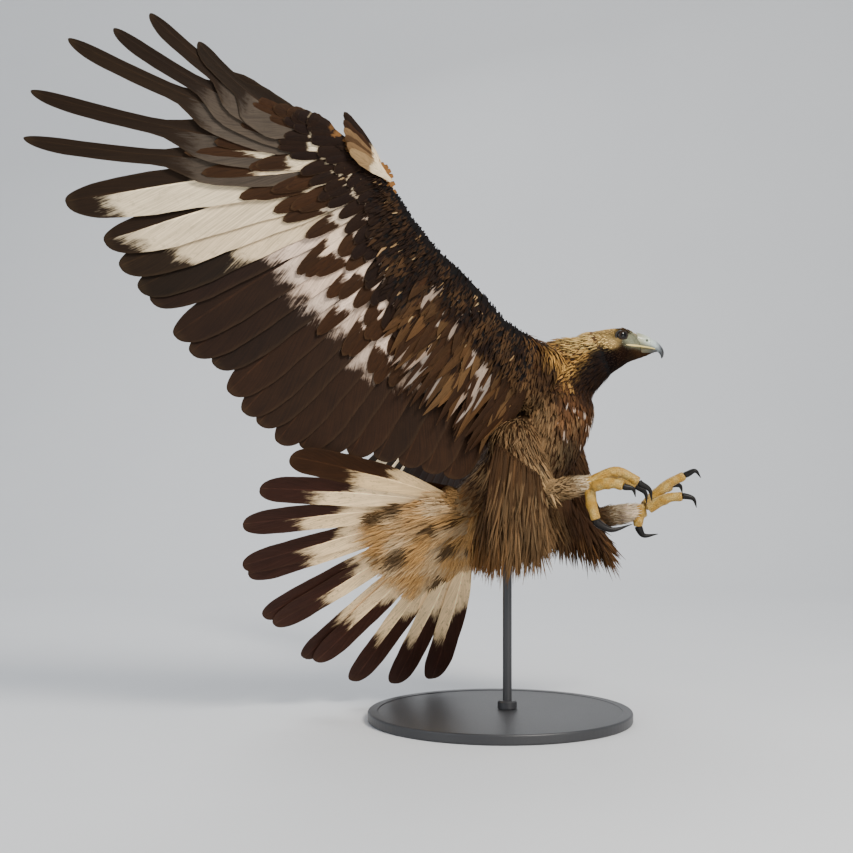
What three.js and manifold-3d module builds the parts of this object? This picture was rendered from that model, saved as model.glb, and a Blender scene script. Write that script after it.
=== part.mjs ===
import * as THREE from 'three';
import { mergeVertices } from 'three/addons/utils/BufferGeometryUtils.js';
import Module from 'manifold-3d';

const wasm = await Module();
wasm.setup();

// Driving dimensions, in millimetres and degrees.
// +X runs towards the bill, +Y away from the near side, +Z up from the floor.
const gap = 0.3;
const vaneThickness = 1.1;
const baseRadius = 205;
const baseThickness = 16;
const rodRadius = 7;
const rodTop = 372;
const rodPlace = [12, 14];

// The body leans back and turns its belly down and towards the near side.
const bodyBelly = new THREE.Vector3(0.819, -0.469, -0.331);

// Torso stations: centre x, y, z, half depth, half width.
const torsoStations = [
  [-50, 0, 326, 20, 27],
  [-32, 0, 337, 34, 42],
  [-6, 0, 356, 50, 54],
  [24, 0, 383, 62, 62],
  [52, 0, 421, 69, 68],
  [73, 0, 463, 72, 71],
  [83, 0, 500, 69, 68],
  [87, 0, 530, 52, 54],
  [88, 0, 546, 30, 34],
];

// Neck and head stations: centre x, y, z, half height, half width.
const neckStations = [
  [62, 0, 505, 56, 54],
  [88, 0, 529, 58, 53],
  [111, 0, 543, 55, 48],
  [134.5, 0, 556, 44, 41],
  [149.5, 0, 565, 39, 37.5],
  [160.5, 0, 569.8, 36, 35.5],
];
const headStations = [
  [149.5, 0, 565, 39, 37.5],
  [160.5, 0, 569.8, 36, 35.5],
  [175, 0, 575.2, 33, 33.5],
  [188, 0, 578.5, 30, 30.5],
  [200, 0, 579.5, 25, 25.5],
  [210, 0, 579.5, 20.8, 20],
  [216.5, 0, 580, 17.5, 15.5],
];
const headStart = 154;
const billStart = 214;

// Upper and lower bill stations, along the curve to the hook.
const upperBillStations = [
  [210, 0, 589.5, 11, 14],
  [220, 0, 587.8, 9.6, 13],
  [230, 0, 584.8, 8, 11],
  [238.5, 0, 581, 6.8, 8.6],
  [245.5, 0, 576, 5.6, 6.2],
  [249.8, 0, 570.5, 4.2, 4.2],
  [251.2, 0, 565, 2.4, 2.4],
  [250.4, 0, 560.5, 0.9, 0.9],
];
const cereEnd = 228;
const lowerBillStations = [
  [210, 0, 571.5, 7.5, 13],
  [221, 0, 572, 6.2, 10.5],
  [232, 0, 571.9, 4.6, 7.6],
  [241, 0, 571.6, 3, 4.8],
  [246, 0, 571.3, 1.4, 2],
];

const eyeRadius = 11;
const eyePlace = new THREE.Vector3(185.5, 18.6, 594.7);
const lidReach = 9.2;
const browPath = [[172, 24.5, 600.5], [184, 26, 603.8], [196, 23.5, 602.3], [208, 16.5, 597]];
const browRadii = [3, 3.8, 3.4, 2];
const nostrilPath = [[221, 8, 588.5], [223, 16, 590.5]];
const nostrilRadius = 2.2;

// Wing plan: out from the shoulder, forward to the leading edge, up to the back.
const elbow = [204, -26];
const wrist = [336, 124];
const handEnd = [467, 127];
const handLine = [560, -186];
const wingCoreStations = [
  [-34, -14, 50, 31],
  [20, -14, 48, 28],
  [70, -8, 44, 23],
  [120, 6, 48, 18],
  [170, 18, 50, 15],
  [214, 30, 47, 13],
  [262, 60, 34, 11.5],
  [310, 96, 20, 10.5],
  [340, 113, 14, 10],
  [400, 122, 11, 8],
  [470, 125, 7, 5],
];
const primaryLengths = [382, 385, 384, 411, 447, 430, 387, 326, 283, 198];
const primaryAngles = [-52.9, -48.9, -44.6, -36.9, -26.2, -18.4, -7.2, -1.3, 6.9, 9];
const secondaryLengths = [375, 365, 352, 327, 325, 318, 303, 291, 261, 243, 230, 219, 212, 207, 202];
const secondaryAngles = [
  -53.9, -59.5, -61.2, -63.1, -67.3, -70.2, -71.8, -75.7, -79, -81, -83.5, -86.5, -89.5, -92, -94,
];
const flightWidth = 60;
const fingerBow = 13;
const palmBow = -5;
const forearmFeathers = 9;
const firstFinger = 4;
const shingleTilt = 5.2;
const primaryStep = 1.7;
const covertLift = 3.6;
const covertRise = 4.6;
const covertWidth = 44;
const underCovertReach = 0.45;
const upperCovertReach = 0.42;
const alulaRoot = [330, 124];
const tipRise = 100;
const trailingDrop = 14;

const rightShoulder = new THREE.Vector3(44, -62, 555);
const rightOut = new THREE.Vector3(-0.8187, -0.375, 0.4348);
const rightFore = new THREE.Vector3(0.469, 0, 0.883);
const leftShoulder = new THREE.Vector3(105, 62, 531);
const leftOut = new THREE.Vector3(-0.318, 0.94, 0.128);
const leftFore = new THREE.Vector3(0.427, -0.086, 0.9);
const leftSweep = -18;

// Tail fan: twelve feathers, the near one first.
const tailRoot = new THREE.Vector3(-40, 0, 333);
const tailAxis = new THREE.Vector3(-0.853, 0, -0.521);
const tailAcross = new THREE.Vector3(-0.387, -0.669, 0.634);
const tailLengths = [329, 352, 364, 364, 358, 362, 356, 364, 358, 367, 359, 349];
const tailAngles = [56.5, 46, 35.5, 23, 19.5, 4.5, 0.5, -14.5, -18, -31.5, -43.5, -54];
const tailWidth = 58;
const tailStep = 1.9;

// The tail's stub: distance from its root, half width, half height.
const tailStub = [[-30, 24, 20], [10, 30, 18], [45, 32, 14], [75, 26, 9]];
const tailCovertAngles = [-46, -28, -10, 9, 28, 47];
const tailCoverts = [
  { side: -1, reach: 185, layer: 8.5 },
  { side: 1, reach: 120, layer: 7.5 },
];

// Legs: hip, knee, heel and the joint at the base of the toes.
const rightLeg = { hip: [32, -40, 452], knee: [19, -74, 424], heel: [61, -96, 357], foot: [131, -120, 371] };
const leftLeg = { hip: [74, 34, 456], knee: [92, 58, 418], heel: [144, 60, 308], foot: [226, 50, 321] };

// Toe paths: places of the joints from the foot, then the claw's curve.
const rightToes = {
  middle: {
    bones: [[134, -122, 376], [166, -127, 388], [198, -129, 374]],
    claw: [[200, -129, 371], [214, -128, 362], [218, -126, 345]],
  },
  inner: {
    bones: [[136, -112, 372], [170, -102, 378], [197, -99, 368]],
    claw: [[199, -99, 366], [212, -98, 356], [214, -97, 340]],
  },
  outer: {
    bones: [[133, -130, 367], [154, -142, 372], [173, -148, 369]],
    claw: [[175, -148, 367], [187, -149, 364], [191, -148, 352]],
  },
  hind: {
    bones: [[127, -122, 362], [130, -124, 338], [136, -125, 318]],
    claw: [[137, -125, 314], [158, -125, 303], [190, -122, 311]],
  },
};
const leftToes = {
  middle: {
    bones: [[234, 48, 332], [264, 42, 362], [292, 40, 378]],
    claw: [[297, 40, 380], [309, 38, 385], [318, 38, 374]],
  },
  inner: {
    bones: [[236, 38, 326], [262, 28, 342], [286, 22, 346]],
    claw: [[289, 22, 346], [303, 20, 342], [308, 19, 328]],
  },
  outer: {
    bones: [[232, 58, 328], [254, 68, 350], [276, 74, 360]],
    claw: [[279, 74, 362], [291, 76, 360], [295, 77, 348]],
  },
  hind: {
    bones: [[222, 50, 316], [221, 50, 304], [221, 50, 297]],
    claw: [[222, 50, 294], [229, 50, 283], [252, 48, 285]],
  },
};
const thighRadii = [30, 42, 34, 20];
const shinRadii = [20, 21, 19.5, 15.5];
const palmRadius = 12.5;
const toeRadii = [9.5, 8.5, 7];
const clawRadius = 5;
const hindClawRadius = 6.2;

// Hanging locks of the thighs: the rows of their roots and of their tips.
const lockWidth = 27;
const lockThickness = 3;
const rightLockRows = [
  { roots: [[10, -92, 415], [56, -108, 350]], tips: [[-30, -98, 232], [54, -112, 238]], count: 5, seed: 3 },
  { roots: [[0, -62, 400], [44, -80, 345]], tips: [[-22, -64, 226], [70, -84, 236]], count: 5, seed: 13 },
];
const leftLockRows = [
  { roots: [[92, 40, 385], [142, 44, 306]], tips: [[90, 40, 246], [198, 46, 224]], count: 6, seed: 23 },
  { roots: [[96, 74, 385], [150, 74, 312]], tips: [[100, 78, 240], [204, 78, 226]], count: 5, seed: 33 },
];

const colours = {
  darkFeather: 0x3a2a1e,
  brownFeather: 0x5a4430,
  goldenFeather: 0x9a7845,
  paleFeather: 0xd9cbb4,
  yellowSkin: 0xc9a548,
  horn: 0x22201f,
  paleHorn: 0x8e9598,
  eye: 0x2a1a10,
  stand: 0x2c2d2f,
};

function vector(list) {
  return new THREE.Vector3(list[0], list[1], list[2]);
}

// A repeatable spread of small differences between like feathers.
function wobble(seed) {
  const wave = Math.sin(seed * 127.1 + 11.7) * 43758.5453;
  return 2 * (wave - Math.floor(wave)) - 1;
}

function solid(geometry) {
  const bare = geometry.clone();
  bare.deleteAttribute('normal');
  bare.deleteAttribute('uv');
  const merged = mergeVertices(bare, 1e-4);
  const triVerts = new Uint32Array(merged.index.array);
  const vertProperties = new Float32Array(merged.attributes.position.array);
  return new wasm.Manifold(new wasm.Mesh({ numProp: 3, vertProperties, triVerts }));
}

function signedVolume(points, faces) {
  const cross = new THREE.Vector3();
  const corner = ([a, b, c]) => points[a].dot(cross.crossVectors(points[b], points[c])) / 6;
  return faces.reduce((sum, face) => sum + corner(face), 0);
}

// A closed skin over rings of equally many points, flat at both ends.
// The two halves of a ring mirror their diagonals, so a bent thin vane keeps its thickness.
function loft(rings) {
  const count = rings[0].length;
  const last = (rings.length - 1) * count;
  const points = rings.flat();
  const faces = [];
  for (let low = 0; low < last; low += count) {
    for (let i = 0; i < count; i += 1) {
      const j = (i + 1) % count;
      const high = low + count;
      if (2 * i < count) {
        faces.push([low + i, low + j, high + j], [low + i, high + j, high + i]);
      } else {
        faces.push([low + i, low + j, high + i], [low + j, high + j, high + i]);
      }
    }
  }
  for (let i = 1; i + 1 < count; i += 1) {
    faces.push([0, i + 1, i]);
    faces.push([last, last + i, last + i + 1]);
  }
  if (signedVolume(points, faces) < 0) {
    faces.forEach((face) => face.reverse());
  }
  const geometry = new THREE.BufferGeometry().setFromPoints(points);
  geometry.setIndex(faces.flat());
  return solid(geometry);
}

function oval(centre, high, wide, halfHigh, halfWide, sides) {
  return Array.from({ length: sides }, (unused, i) => {
    const turn = (2 * Math.PI * (i + 0.5)) / sides;
    return centre.clone()
      .addScaledVector(high, halfHigh * Math.cos(turn))
      .addScaledVector(wide, halfWide * Math.sin(turn));
  });
}

// Fair rings through hand-placed stations: x, y, z, half height, half width.
function body(stations, up, { sides = 14, rings = 10, grow = 0 } = {}) {
  const path = new THREE.CatmullRomCurve3(stations.map(vector), false, 'centripetal');
  const sizes = new THREE.CatmullRomCurve3(
    stations.map(([x, y, z, high, wide], k) => new THREE.Vector3(high, wide, k)),
    false,
    'centripetal',
  );
  const made = [];
  for (let k = 0; k <= rings; k += 1) {
    const t = k / rings;
    const along = path.getTangent(t);
    const high = up.clone().addScaledVector(along, -up.dot(along)).normalize();
    const wide = along.clone().cross(high);
    const size = sizes.getPoint(t);
    const push = k === 0 ? -grow : k === rings ? grow : 0;
    const centre = path.getPoint(t).addScaledVector(along, push);
    made.push(oval(centre, high, wide, size.x + grow, size.y + grow, sides));
  }
  return loft(made);
}

// A round limb through joints, with a radius at each.
function limb(joints, radii, sides = 8, grow = 0) {
  const stations = joints.map((joint, k) => [...joint, radii[k], radii[k]]);
  const up = new THREE.Vector3(0.1, 0.2, 1).normalize();
  return body(stations, up, { sides, rings: joints.length + 2, grow });
}

// One feather: rings of four points along a bowed shaft, in the feather's own plane.
function vane({ length, width, outline, bow = 0, tilt = 0, rise = 0, thick = vaneThickness }, place) {
  const cos = Math.cos(THREE.MathUtils.degToRad(tilt));
  const sin = Math.sin(THREE.MathUtils.degToRad(tilt));
  const rings = outline.map(([t, lead, trail]) => {
    const side = -4 * bow * t * (1 - t);
    const lift = rise * t * (2 - t);
    const half = (thick / 2) * (1 - 0.35 * t);
    const [front, rear] = [lead * width, -trail * width];
    const corners = [[front, half], [rear, half], [rear, -half], [front, -half]];
    return corners.map(([y, z]) => place(length * t, side + y * cos - z * sin, lift + y * sin + z * cos));
  });
  return loft(rings);
}

// Outlines: part of the length, width ahead of the shaft, width behind it.
const roundOutline = [
  [0, 0.1, 0.14], [0.2, 0.28, 0.46], [0.8, 0.36, 0.62], [0.94, 0.24, 0.42], [1, 0.05, 0.08],
];
const fingerOutline = [
  [0, 0.1, 0.14], [0.2, 0.24, 0.5], [0.46, 0.26, 0.6], [0.62, 0.16, 0.26], [0.9, 0.14, 0.22], [1, 0.03, 0.05],
];
const tailOutline = [
  [0, 0.1, 0.1], [0.3, 0.3, 0.3], [0.7, 0.46, 0.46], [0.88, 0.46, 0.46], [0.96, 0.3, 0.3], [1, 0.08, 0.08],
];
const covertOutline = [[0, 0.2, 0.2], [0.4, 0.48, 0.48], [0.85, 0.42, 0.42], [1, 0.1, 0.1]];
const lockOutline = [[0, 0.4, 0.4], [0.7, 0.48, 0.48], [1, 0.08, 0.08]];

function turned(root, angle, lift, x, y, z) {
  const cos = Math.cos(THREE.MathUtils.degToRad(angle));
  const sin = Math.sin(THREE.MathUtils.degToRad(angle));
  return [root[0] + x * cos - y * sin, root[1] + x * sin + y * cos, lift + z];
}

function between(from, to, t) {
  return [from[0] + (to[0] - from[0]) * t, from[1] + (to[1] - from[1]) * t];
}

// The wing's surface from its flat plan: raised finger tips, lowered trailing edge.
function wingPlace({ origin, out, fore, back, sweep }) {
  return ([a, b, w]) => {
    const turn = THREE.MathUtils.degToRad(sweep * THREE.MathUtils.clamp(a / 260, 0, 1));
    const span = Math.max(0, a - 340) / 480;
    const rear = Math.max(0, 60 - b) / 340;
    const height = w + tipRise * span * span - trailingDrop * rear * rear;
    return origin.clone()
      .addScaledVector(out, a * Math.cos(turn) - b * Math.sin(turn))
      .addScaledVector(fore, a * Math.sin(turn) + b * Math.cos(turn))
      .addScaledVector(back, height);
  };
}

function wingCore(place) {
  const rings = wingCoreStations.map(([a, b, chord, thick]) => {
    return Array.from({ length: 12 }, (unused, i) => {
      const turn = (2 * Math.PI * (i + 0.5)) / 12;
      return place([a, b + chord * Math.cos(turn), thick * Math.sin(turn)]);
    });
  });
  return loft(rings);
}

// Where each flight feather grows, and its length and angle in the plan.
function flightFeathers() {
  const primaries = primaryLengths.map((length, i) => ({
    root: between(wrist, handEnd, (i + 0.4) / 10),
    length,
    angle: primaryAngles[i],
    lift: primaryStep * (3 - i) * (i < 3 ? 0.5 : 1),
    finger: i >= firstFinger,
  }));
  const innermost = secondaryLengths.length - forearmFeathers + 1;
  const secondaries = secondaryLengths.map((length, i) => ({
    root: i < forearmFeathers
      ? between(wrist, elbow, (i + 0.5) / forearmFeathers)
      : between(elbow, [0, -10], (i - forearmFeathers + 0.4) / innermost),
    length,
    angle: secondaryAngles[i],
    lift: primaryStep * 1.5,
    finger: false,
  }));
  return { primaries, secondaries };
}

function flightVane(feather, place) {
  const { root, length, angle, lift, finger } = feather;
  const shape = {
    length,
    width: flightWidth,
    outline: finger ? fingerOutline : roundOutline,
    bow: finger ? fingerBow : palmBow,
    tilt: shingleTilt,
  };
  return vane(shape, (x, y, z) => place(turned(root, angle, lift, x, y, z)));
}

// One tier of coverts, on the belly side when side is -1 and on the back when it is 1.
function covertTier(feathers, place, { side, reach, seed }) {
  const spaced = feathers.filter((feather, i) => i % 2 === 0);
  return spaced.map(({ root, length, angle, lift }, i) => {
    const shape = {
      length: length * reach * (1 + 0.05 * wobble(seed + i)),
      width: covertWidth,
      outline: covertOutline,
      tilt: shingleTilt,
      rise: side * covertRise,
    };
    return vane(shape, (x, y, z) => place(turned(root, angle, lift + side * covertLift, x, y, z)));
  });
}

// The thumb's small feathers, raised from the leading edge.
function alula(place) {
  return [0, 1, 2].map((i) => {
    const shape = { length: 118 - 16 * i, width: 26, outline: covertOutline, tilt: 10, rise: -8 };
    return vane(shape, (x, y, z) => place(turned(alulaRoot, 24 - 7 * i, -3 - 2.6 * i, x, y, z)));
  });
}

function wing(axes) {
  const place = wingPlace(axes);
  const { primaries, secondaries } = flightFeathers();
  const all = [...primaries, ...secondaries];
  const pieces = [
    wingCore(place),
    ...all.map((feather) => flightVane(feather, place)),
    ...covertTier(all, place, { side: -1, reach: underCovertReach, seed: 1 }),
    ...covertTier(all, place, { side: 1, reach: upperCovertReach, seed: 40 }),
    ...alula(place),
  ];
  return wasm.Manifold.union(pieces);
}

function axesFor(origin, outward, forward, sweep) {
  const out = outward.clone().normalize();
  const fore = forward.clone().addScaledVector(out, -forward.dot(out)).normalize();
  const back = out.clone().cross(fore);
  if (back.dot(bodyBelly) > 0) {
    back.negate();
  }
  return { origin, out, fore, back, sweep };
}

// Everything on one side of a plane through a point.
function halfSpace(point, normal) {
  const size = 3000;
  const box = new THREE.BoxGeometry(size, size, size);
  box.translate(0, 0, size / 2);
  box.applyQuaternion(new THREE.Quaternion().setFromUnitVectors(new THREE.Vector3(0, 0, 1), normal));
  box.translate(point.x, point.y, point.z);
  return solid(box);
}

// Parts the hand from the arm where the innermost primary begins.
function splitWing(whole, axes) {
  const place = wingPlace(axes);
  const start = place([...wrist, 0]);
  const along = place([...handLine, 0]).sub(start);
  const ahead = along.cross(axes.back).normalize();
  if (ahead.dot(axes.out) < 0) {
    ahead.negate();
  }
  const outward = start.clone().addScaledVector(ahead, gap / 2 - 4);
  const inward = start.clone().addScaledVector(ahead, -gap / 2 - 4);
  const hand = whole.intersect(halfSpace(outward, ahead));
  const arm = whole.intersect(halfSpace(inward, ahead.clone().negate()));
  return { hand: largest(hand), arm: largest(arm) };
}

function largest(whole) {
  const bodies = whole.decompose();
  return bodies.reduce((best, piece) => (piece.volume() > best.volume() ? piece : best));
}

function torso(grow = 0) {
  return body(torsoStations, bodyBelly.clone().negate(), { sides: 16, rings: 12, grow });
}

function neck(grow = 0) {
  return body(neckStations, new THREE.Vector3(0, 0, 1), { sides: 16, rings: 6, grow });
}

function head(grow = 0) {
  return body(headStations, new THREE.Vector3(0, 0, 1), { sides: 16, rings: 7, grow });
}

function upperBill(grow = 0) {
  return body(upperBillStations, new THREE.Vector3(1, 0, 1).normalize(), { sides: 12, rings: 11, grow });
}

function lowerBill(grow = 0) {
  return body(lowerBillStations, new THREE.Vector3(0, 0, 1), { sides: 10, rings: 6, grow });
}

function ball(centre, radius, wide = 12, high = 8) {
  const geometry = new THREE.SphereGeometry(radius, wide, high);
  geometry.rotateX(Math.PI / 2);
  geometry.translate(centre.x, centre.y, centre.z);
  return solid(geometry);
}

function onSide(path, side) {
  return path.map(([x, y, z]) => [x, side * y, z]);
}

// A ridge over each eye and a rim round it.
function lids(side) {
  const centre = new THREE.Vector3(eyePlace.x, side * (eyePlace.y + 5.5), eyePlace.z);
  const rim = new THREE.TorusGeometry(lidReach, 2, 5, 12);
  rim.rotateX(Math.PI / 2);
  rim.translate(centre.x, centre.y, centre.z);
  return solid(rim).add(limb(onSide(browPath, side), browRadii, 6));
}

function eyeCentre(side) {
  return new THREE.Vector3(eyePlace.x, side * eyePlace.y, eyePlace.z);
}

function nostril(side) {
  return limb(onSide(nostrilPath, side), [nostrilRadius, nostrilRadius], 6);
}

const towardsBill = new THREE.Vector3(1, 0, 0);
const towardsTail = new THREE.Vector3(-1, 0, 0);

function behind(x) {
  return halfSpace(new THREE.Vector3(x, 0, 0), towardsTail);
}

function ahead(x) {
  return halfSpace(new THREE.Vector3(x, 0, 0), towardsBill);
}

// The tail's stub, its fan and the coverts over and under the roots.
function tail() {
  const across = tailAcross.clone().normalize();
  const axis = tailAxis.clone().normalize();
  const back = across.clone().cross(axis).normalize();
  if (back.dot(bodyBelly) > 0) {
    back.negate();
  }
  const place = ([a, b, w]) => tailRoot.clone()
    .addScaledVector(axis, a)
    .addScaledVector(across, b)
    .addScaledVector(back, w);
  const stub = loft(tailStub.map(([a, wide, high]) => oval(place([a, 0, 0]), back, across, high, wide, 12)));
  const fan = tailAngles.map((angle, i) => {
    const rank = Math.abs(i - 5.5) - 0.5;
    const shape = { length: tailLengths[i], width: tailWidth, outline: tailOutline, bow: -0.12 * angle };
    const root = [6, 12 * Math.sin(THREE.MathUtils.degToRad(angle))];
    const layer = 4 - tailStep * rank - (i > 5 ? tailStep / 2 : 0);
    return vane(shape, (x, y, z) => place(turned(root, angle, layer, x, y, z)));
  });
  const coverts = tailCoverts.flatMap(({ side, reach, layer }) => {
    return tailCovertAngles.map((angle, i) => {
      const shape = {
        length: reach * (1 + 0.08 * wobble(i + 70)),
        width: 52,
        outline: covertOutline,
        rise: side * 2,
      };
      const lift = side * (layer + tailStep * (i % 2));
      return vane(shape, (x, y, z) => place(turned([10, 0], angle, lift, x, y, z)));
    });
  });
  return wasm.Manifold.union([stub, ...fan, ...coverts]);
}

// The drumstick from hip to heel.
function drumstick({ hip, knee, heel }, grow = 0) {
  const middle = knee.map((value, k) => (value + heel[k]) / 2);
  return limb([hip, knee, middle, heel], thighRadii, 12, grow);
}

// A drumstick with its hanging locks.
function thigh(leg, locks, seed) {
  const shinRoom = tarsus(leg, gap);
  const pieces = locks.map(([root, tip], i) => {
    const from = vector(root);
    const along = vector(tip).sub(from);
    const length = along.length();
    along.normalize();
    const out = new THREE.Vector3(0.25 * wobble(seed + i), -1, 0);
    out.addScaledVector(along, -out.dot(along)).normalize();
    const across = out.clone().cross(along);
    const place = (x, y, z) => from.clone()
      .addScaledVector(along, x)
      .addScaledVector(across, y)
      .addScaledVector(out, z);
    const shape = { length, width: lockWidth, outline: lockOutline, thick: lockThickness };
    return vane(shape, place).subtract(shinRoom);
  });
  return wasm.Manifold.union([drumstick(leg), ...pieces]);
}

// Locks hang in a row from under the drumstick: root and tip of each.
function lockRow({ roots, tips, count, seed }) {
  return Array.from({ length: count }, (unused, i) => {
    const t = i / (count - 1);
    const along = ([from, to]) => from.map((value, k) => value + (to[k] - value) * t);
    const root = along(roots);
    const tip = along(tips);
    tip[2] -= 6 * Math.sin(Math.PI * t) + 5 * wobble(seed + i);
    return [root, tip];
  });
}

function tarsus(leg, grow = 0) {
  const shin = leg.heel.map((value, k) => value + (leg.foot[k] - value) * 0.08);
  const middle = leg.heel.map((value, k) => value + (leg.foot[k] - value) * 0.55);
  return limb([leg.heel, shin, middle, leg.foot], shinRadii, 10, grow);
}

function foot(leg, toes, grow = 0) {
  const palm = ball(vector(leg.foot), palmRadius + grow, 10, 8);
  const all = Object.values(toes).map(({ bones }) => limb(bones, toeRadii, 8, grow));
  return wasm.Manifold.union([palm, ...all]);
}

// A hooked claw out of the end of its toe.
function claw({ bones, claw: path }, big) {
  const thick = big ? hindClawRadius : clawRadius;
  const [start, bend, tip] = path;
  return limb([bones[bones.length - 1], start, bend, tip], [thick, thick, thick * 0.66, 0.6], 6);
}

function addPart(meshes, name, whole, colour, roughness = 0.8, metalness = 0) {
  const cut = largest(whole).getMesh();
  const geometry = new THREE.BufferGeometry();
  geometry.setAttribute('position', new THREE.BufferAttribute(new Float32Array(cut.vertProperties), 3));
  geometry.setIndex(new THREE.BufferAttribute(new Uint32Array(cut.triVerts), 1));
  geometry.computeVertexNormals();
  const material = new THREE.MeshStandardMaterial({ color: colour, roughness, metalness });
  const mesh = new THREE.Mesh(geometry, material);
  mesh.name = name;
  meshes.add(mesh);
}

function standBase() {
  const base = new THREE.CylinderGeometry(baseRadius, baseRadius, baseThickness, 48);
  base.rotateX(Math.PI / 2);
  base.translate(0, 0, baseThickness / 2);
  return solid(base);
}

function standRod(grow = 0) {
  const length = rodTop - baseThickness - gap + grow;
  const rod = new THREE.CylinderGeometry(rodRadius + grow, rodRadius + grow, length, 20);
  rod.rotateX(Math.PI / 2);
  rod.translate(rodPlace[0], rodPlace[1], baseThickness + gap + length / 2);
  return solid(rod);
}

function build() {
  const model = new THREE.Group();
  const torsoRoom = torso(gap);
  addPart(model, 'stand_base', standBase(), colours.stand, 0.45, 0.6);
  addPart(model, 'stand_rod', standRod(), colours.stand, 0.4, 0.7);

  const legs = [
    { side: 'right', leg: rightLeg, toes: rightToes, locks: rightLockRows.flatMap(lockRow) },
    { side: 'left', leg: leftLeg, toes: leftToes, locks: leftLockRows.flatMap(lockRow) },
  ];
  const thighs = legs.map(({ leg, locks }, i) => largest(thigh(leg, locks, 10 * i).subtract(torsoRoom)));
  const thighRoom = legs.map(({ leg }) => drumstick(leg, gap));

  addPart(model, 'torso', torso().subtract(standRod(gap)), colours.brownFeather);
  const nape = neck().subtract(torsoRoom).intersect(behind(headStart - gap));
  addPart(model, 'neck', nape, colours.goldenFeather);
  const skull = head().intersect(ahead(headStart)).intersect(behind(billStart))
    .add(lids(1)).add(lids(-1))
    .subtract(ball(eyeCentre(1), eyeRadius + gap)).subtract(ball(eyeCentre(-1), eyeRadius + gap));
  addPart(model, 'head', skull, colours.goldenFeather);
  addPart(model, 'eye_right', ball(eyeCentre(-1), eyeRadius), colours.eye, 0.1);
  addPart(model, 'eye_left', ball(eyeCentre(1), eyeRadius), colours.eye, 0.1);
  const beak = upperBill().intersect(ahead(billStart + gap)).subtract(nostril(1)).subtract(nostril(-1));
  addPart(model, 'cere', beak.intersect(behind(cereEnd)), colours.yellowSkin, 0.5);
  addPart(model, 'upper_bill', beak.intersect(ahead(cereEnd + gap)), colours.paleHorn, 0.35);
  const jaw = lowerBill().intersect(ahead(billStart + gap)).subtract(upperBill(gap));
  addPart(model, 'lower_bill', jaw, colours.paleHorn, 0.35);

  const rightAxes = axesFor(rightShoulder, rightOut, rightFore, 0);
  const leftAxes = axesFor(leftShoulder, leftOut, leftFore, leftSweep);
  const bodyRoom = wasm.Manifold.union([torsoRoom, neck(gap), head(gap), ...thighRoom]);
  [['right', rightAxes], ['left', leftAxes]].forEach(([side, axes]) => {
    const { hand, arm } = splitWing(largest(wing(axes).subtract(bodyRoom)), axes);
    addPart(model, `wing_${side}_arm`, arm, colours.darkFeather);
    addPart(model, `wing_${side}_hand`, hand, colours.darkFeather);
  });
  addPart(model, 'tail', tail().subtract(torsoRoom).subtract(standRod(gap)), colours.paleFeather);

  legs.forEach(({ side, leg, toes }, i) => {
    addPart(model, `thigh_${side}`, thighs[i], colours.goldenFeather);
    const shin = largest(tarsus(leg).subtract(thighRoom[i]).subtract(foot(leg, toes, gap)));
    addPart(model, `tarsus_${side}`, shin, colours.goldenFeather);
    addPart(model, `foot_${side}`, foot(leg, toes), colours.yellowSkin, 0.5);
    Object.entries(toes).forEach(([toe, bones]) => {
      const hook = claw(bones, toe === 'hind').subtract(foot(leg, toes, gap));
      addPart(model, `claw_${side}_${toe}`, hook, colours.horn, 0.3);
    });
  });
  return model;
}

const group = build();
export default group;
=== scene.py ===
import math

import bmesh
import bpy
import numpy as np
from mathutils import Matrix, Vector, kdtree
from mathutils.bvhtree import BVHTree


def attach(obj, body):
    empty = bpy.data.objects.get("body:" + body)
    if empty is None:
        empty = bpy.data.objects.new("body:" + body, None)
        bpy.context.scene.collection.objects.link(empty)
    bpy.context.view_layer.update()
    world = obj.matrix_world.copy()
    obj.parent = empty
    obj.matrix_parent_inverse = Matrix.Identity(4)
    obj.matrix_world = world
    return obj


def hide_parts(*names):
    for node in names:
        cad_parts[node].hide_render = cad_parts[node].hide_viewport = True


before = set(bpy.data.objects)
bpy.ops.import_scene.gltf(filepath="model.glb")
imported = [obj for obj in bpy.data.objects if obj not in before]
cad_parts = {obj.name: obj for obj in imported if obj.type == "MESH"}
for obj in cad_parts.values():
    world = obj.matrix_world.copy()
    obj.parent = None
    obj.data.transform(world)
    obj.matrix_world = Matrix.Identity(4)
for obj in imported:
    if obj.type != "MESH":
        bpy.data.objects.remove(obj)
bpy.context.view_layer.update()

mm = 0.001
dice = np.random.default_rng(11)


# Plumage and stand colours, as they look in daylight.
paint = {
    "black": 0x0A0503, "sootBrown": 0x1B0E06, "umber": 0x2E1B0C, "earth": 0x45301C, "olive": 0x4C3E2B,
    "hazel": 0x6E5539, "rust": 0x583820, "tawny": 0x7E5730, "gold": 0xB08444, "straw": 0xCBA968,
    "buff": 0x8E7350, "fluff": 0xC4965C, "cream": 0xDCC6A2, "rose": 0xD3B9A4, "slate": 0x4A4036,
    "lore": 0x86876F,
}


def tone(name):
    code = paint[name]
    shares = [(code >> shift & 255) / 255 for shift in (16, 8, 0)]
    return np.array([c / 12.92 if c < 0.04045 else ((c + 0.055) / 1.055) ** 2.4 for c in shares])


def tones(*names):
    return np.array([tone(name) for name in names])


def unit(vectors):
    vectors = np.asarray(vectors, float)
    return vectors / np.maximum(np.linalg.norm(vectors, axis=-1, keepdims=True), 1e-9)


# A soft step up from 0 to 1, or down where the run is negative.
def ramp(x, start=0, run=1):
    x = np.clip((x - start) / run, 0, 1)
    return x * x * (3 - 2 * x)


# Chance to both sides of nothing; every draw comes from the one generator.
def shaken(amount, shape):
    return amount * dice.uniform(-1, 1, shape)


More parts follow.
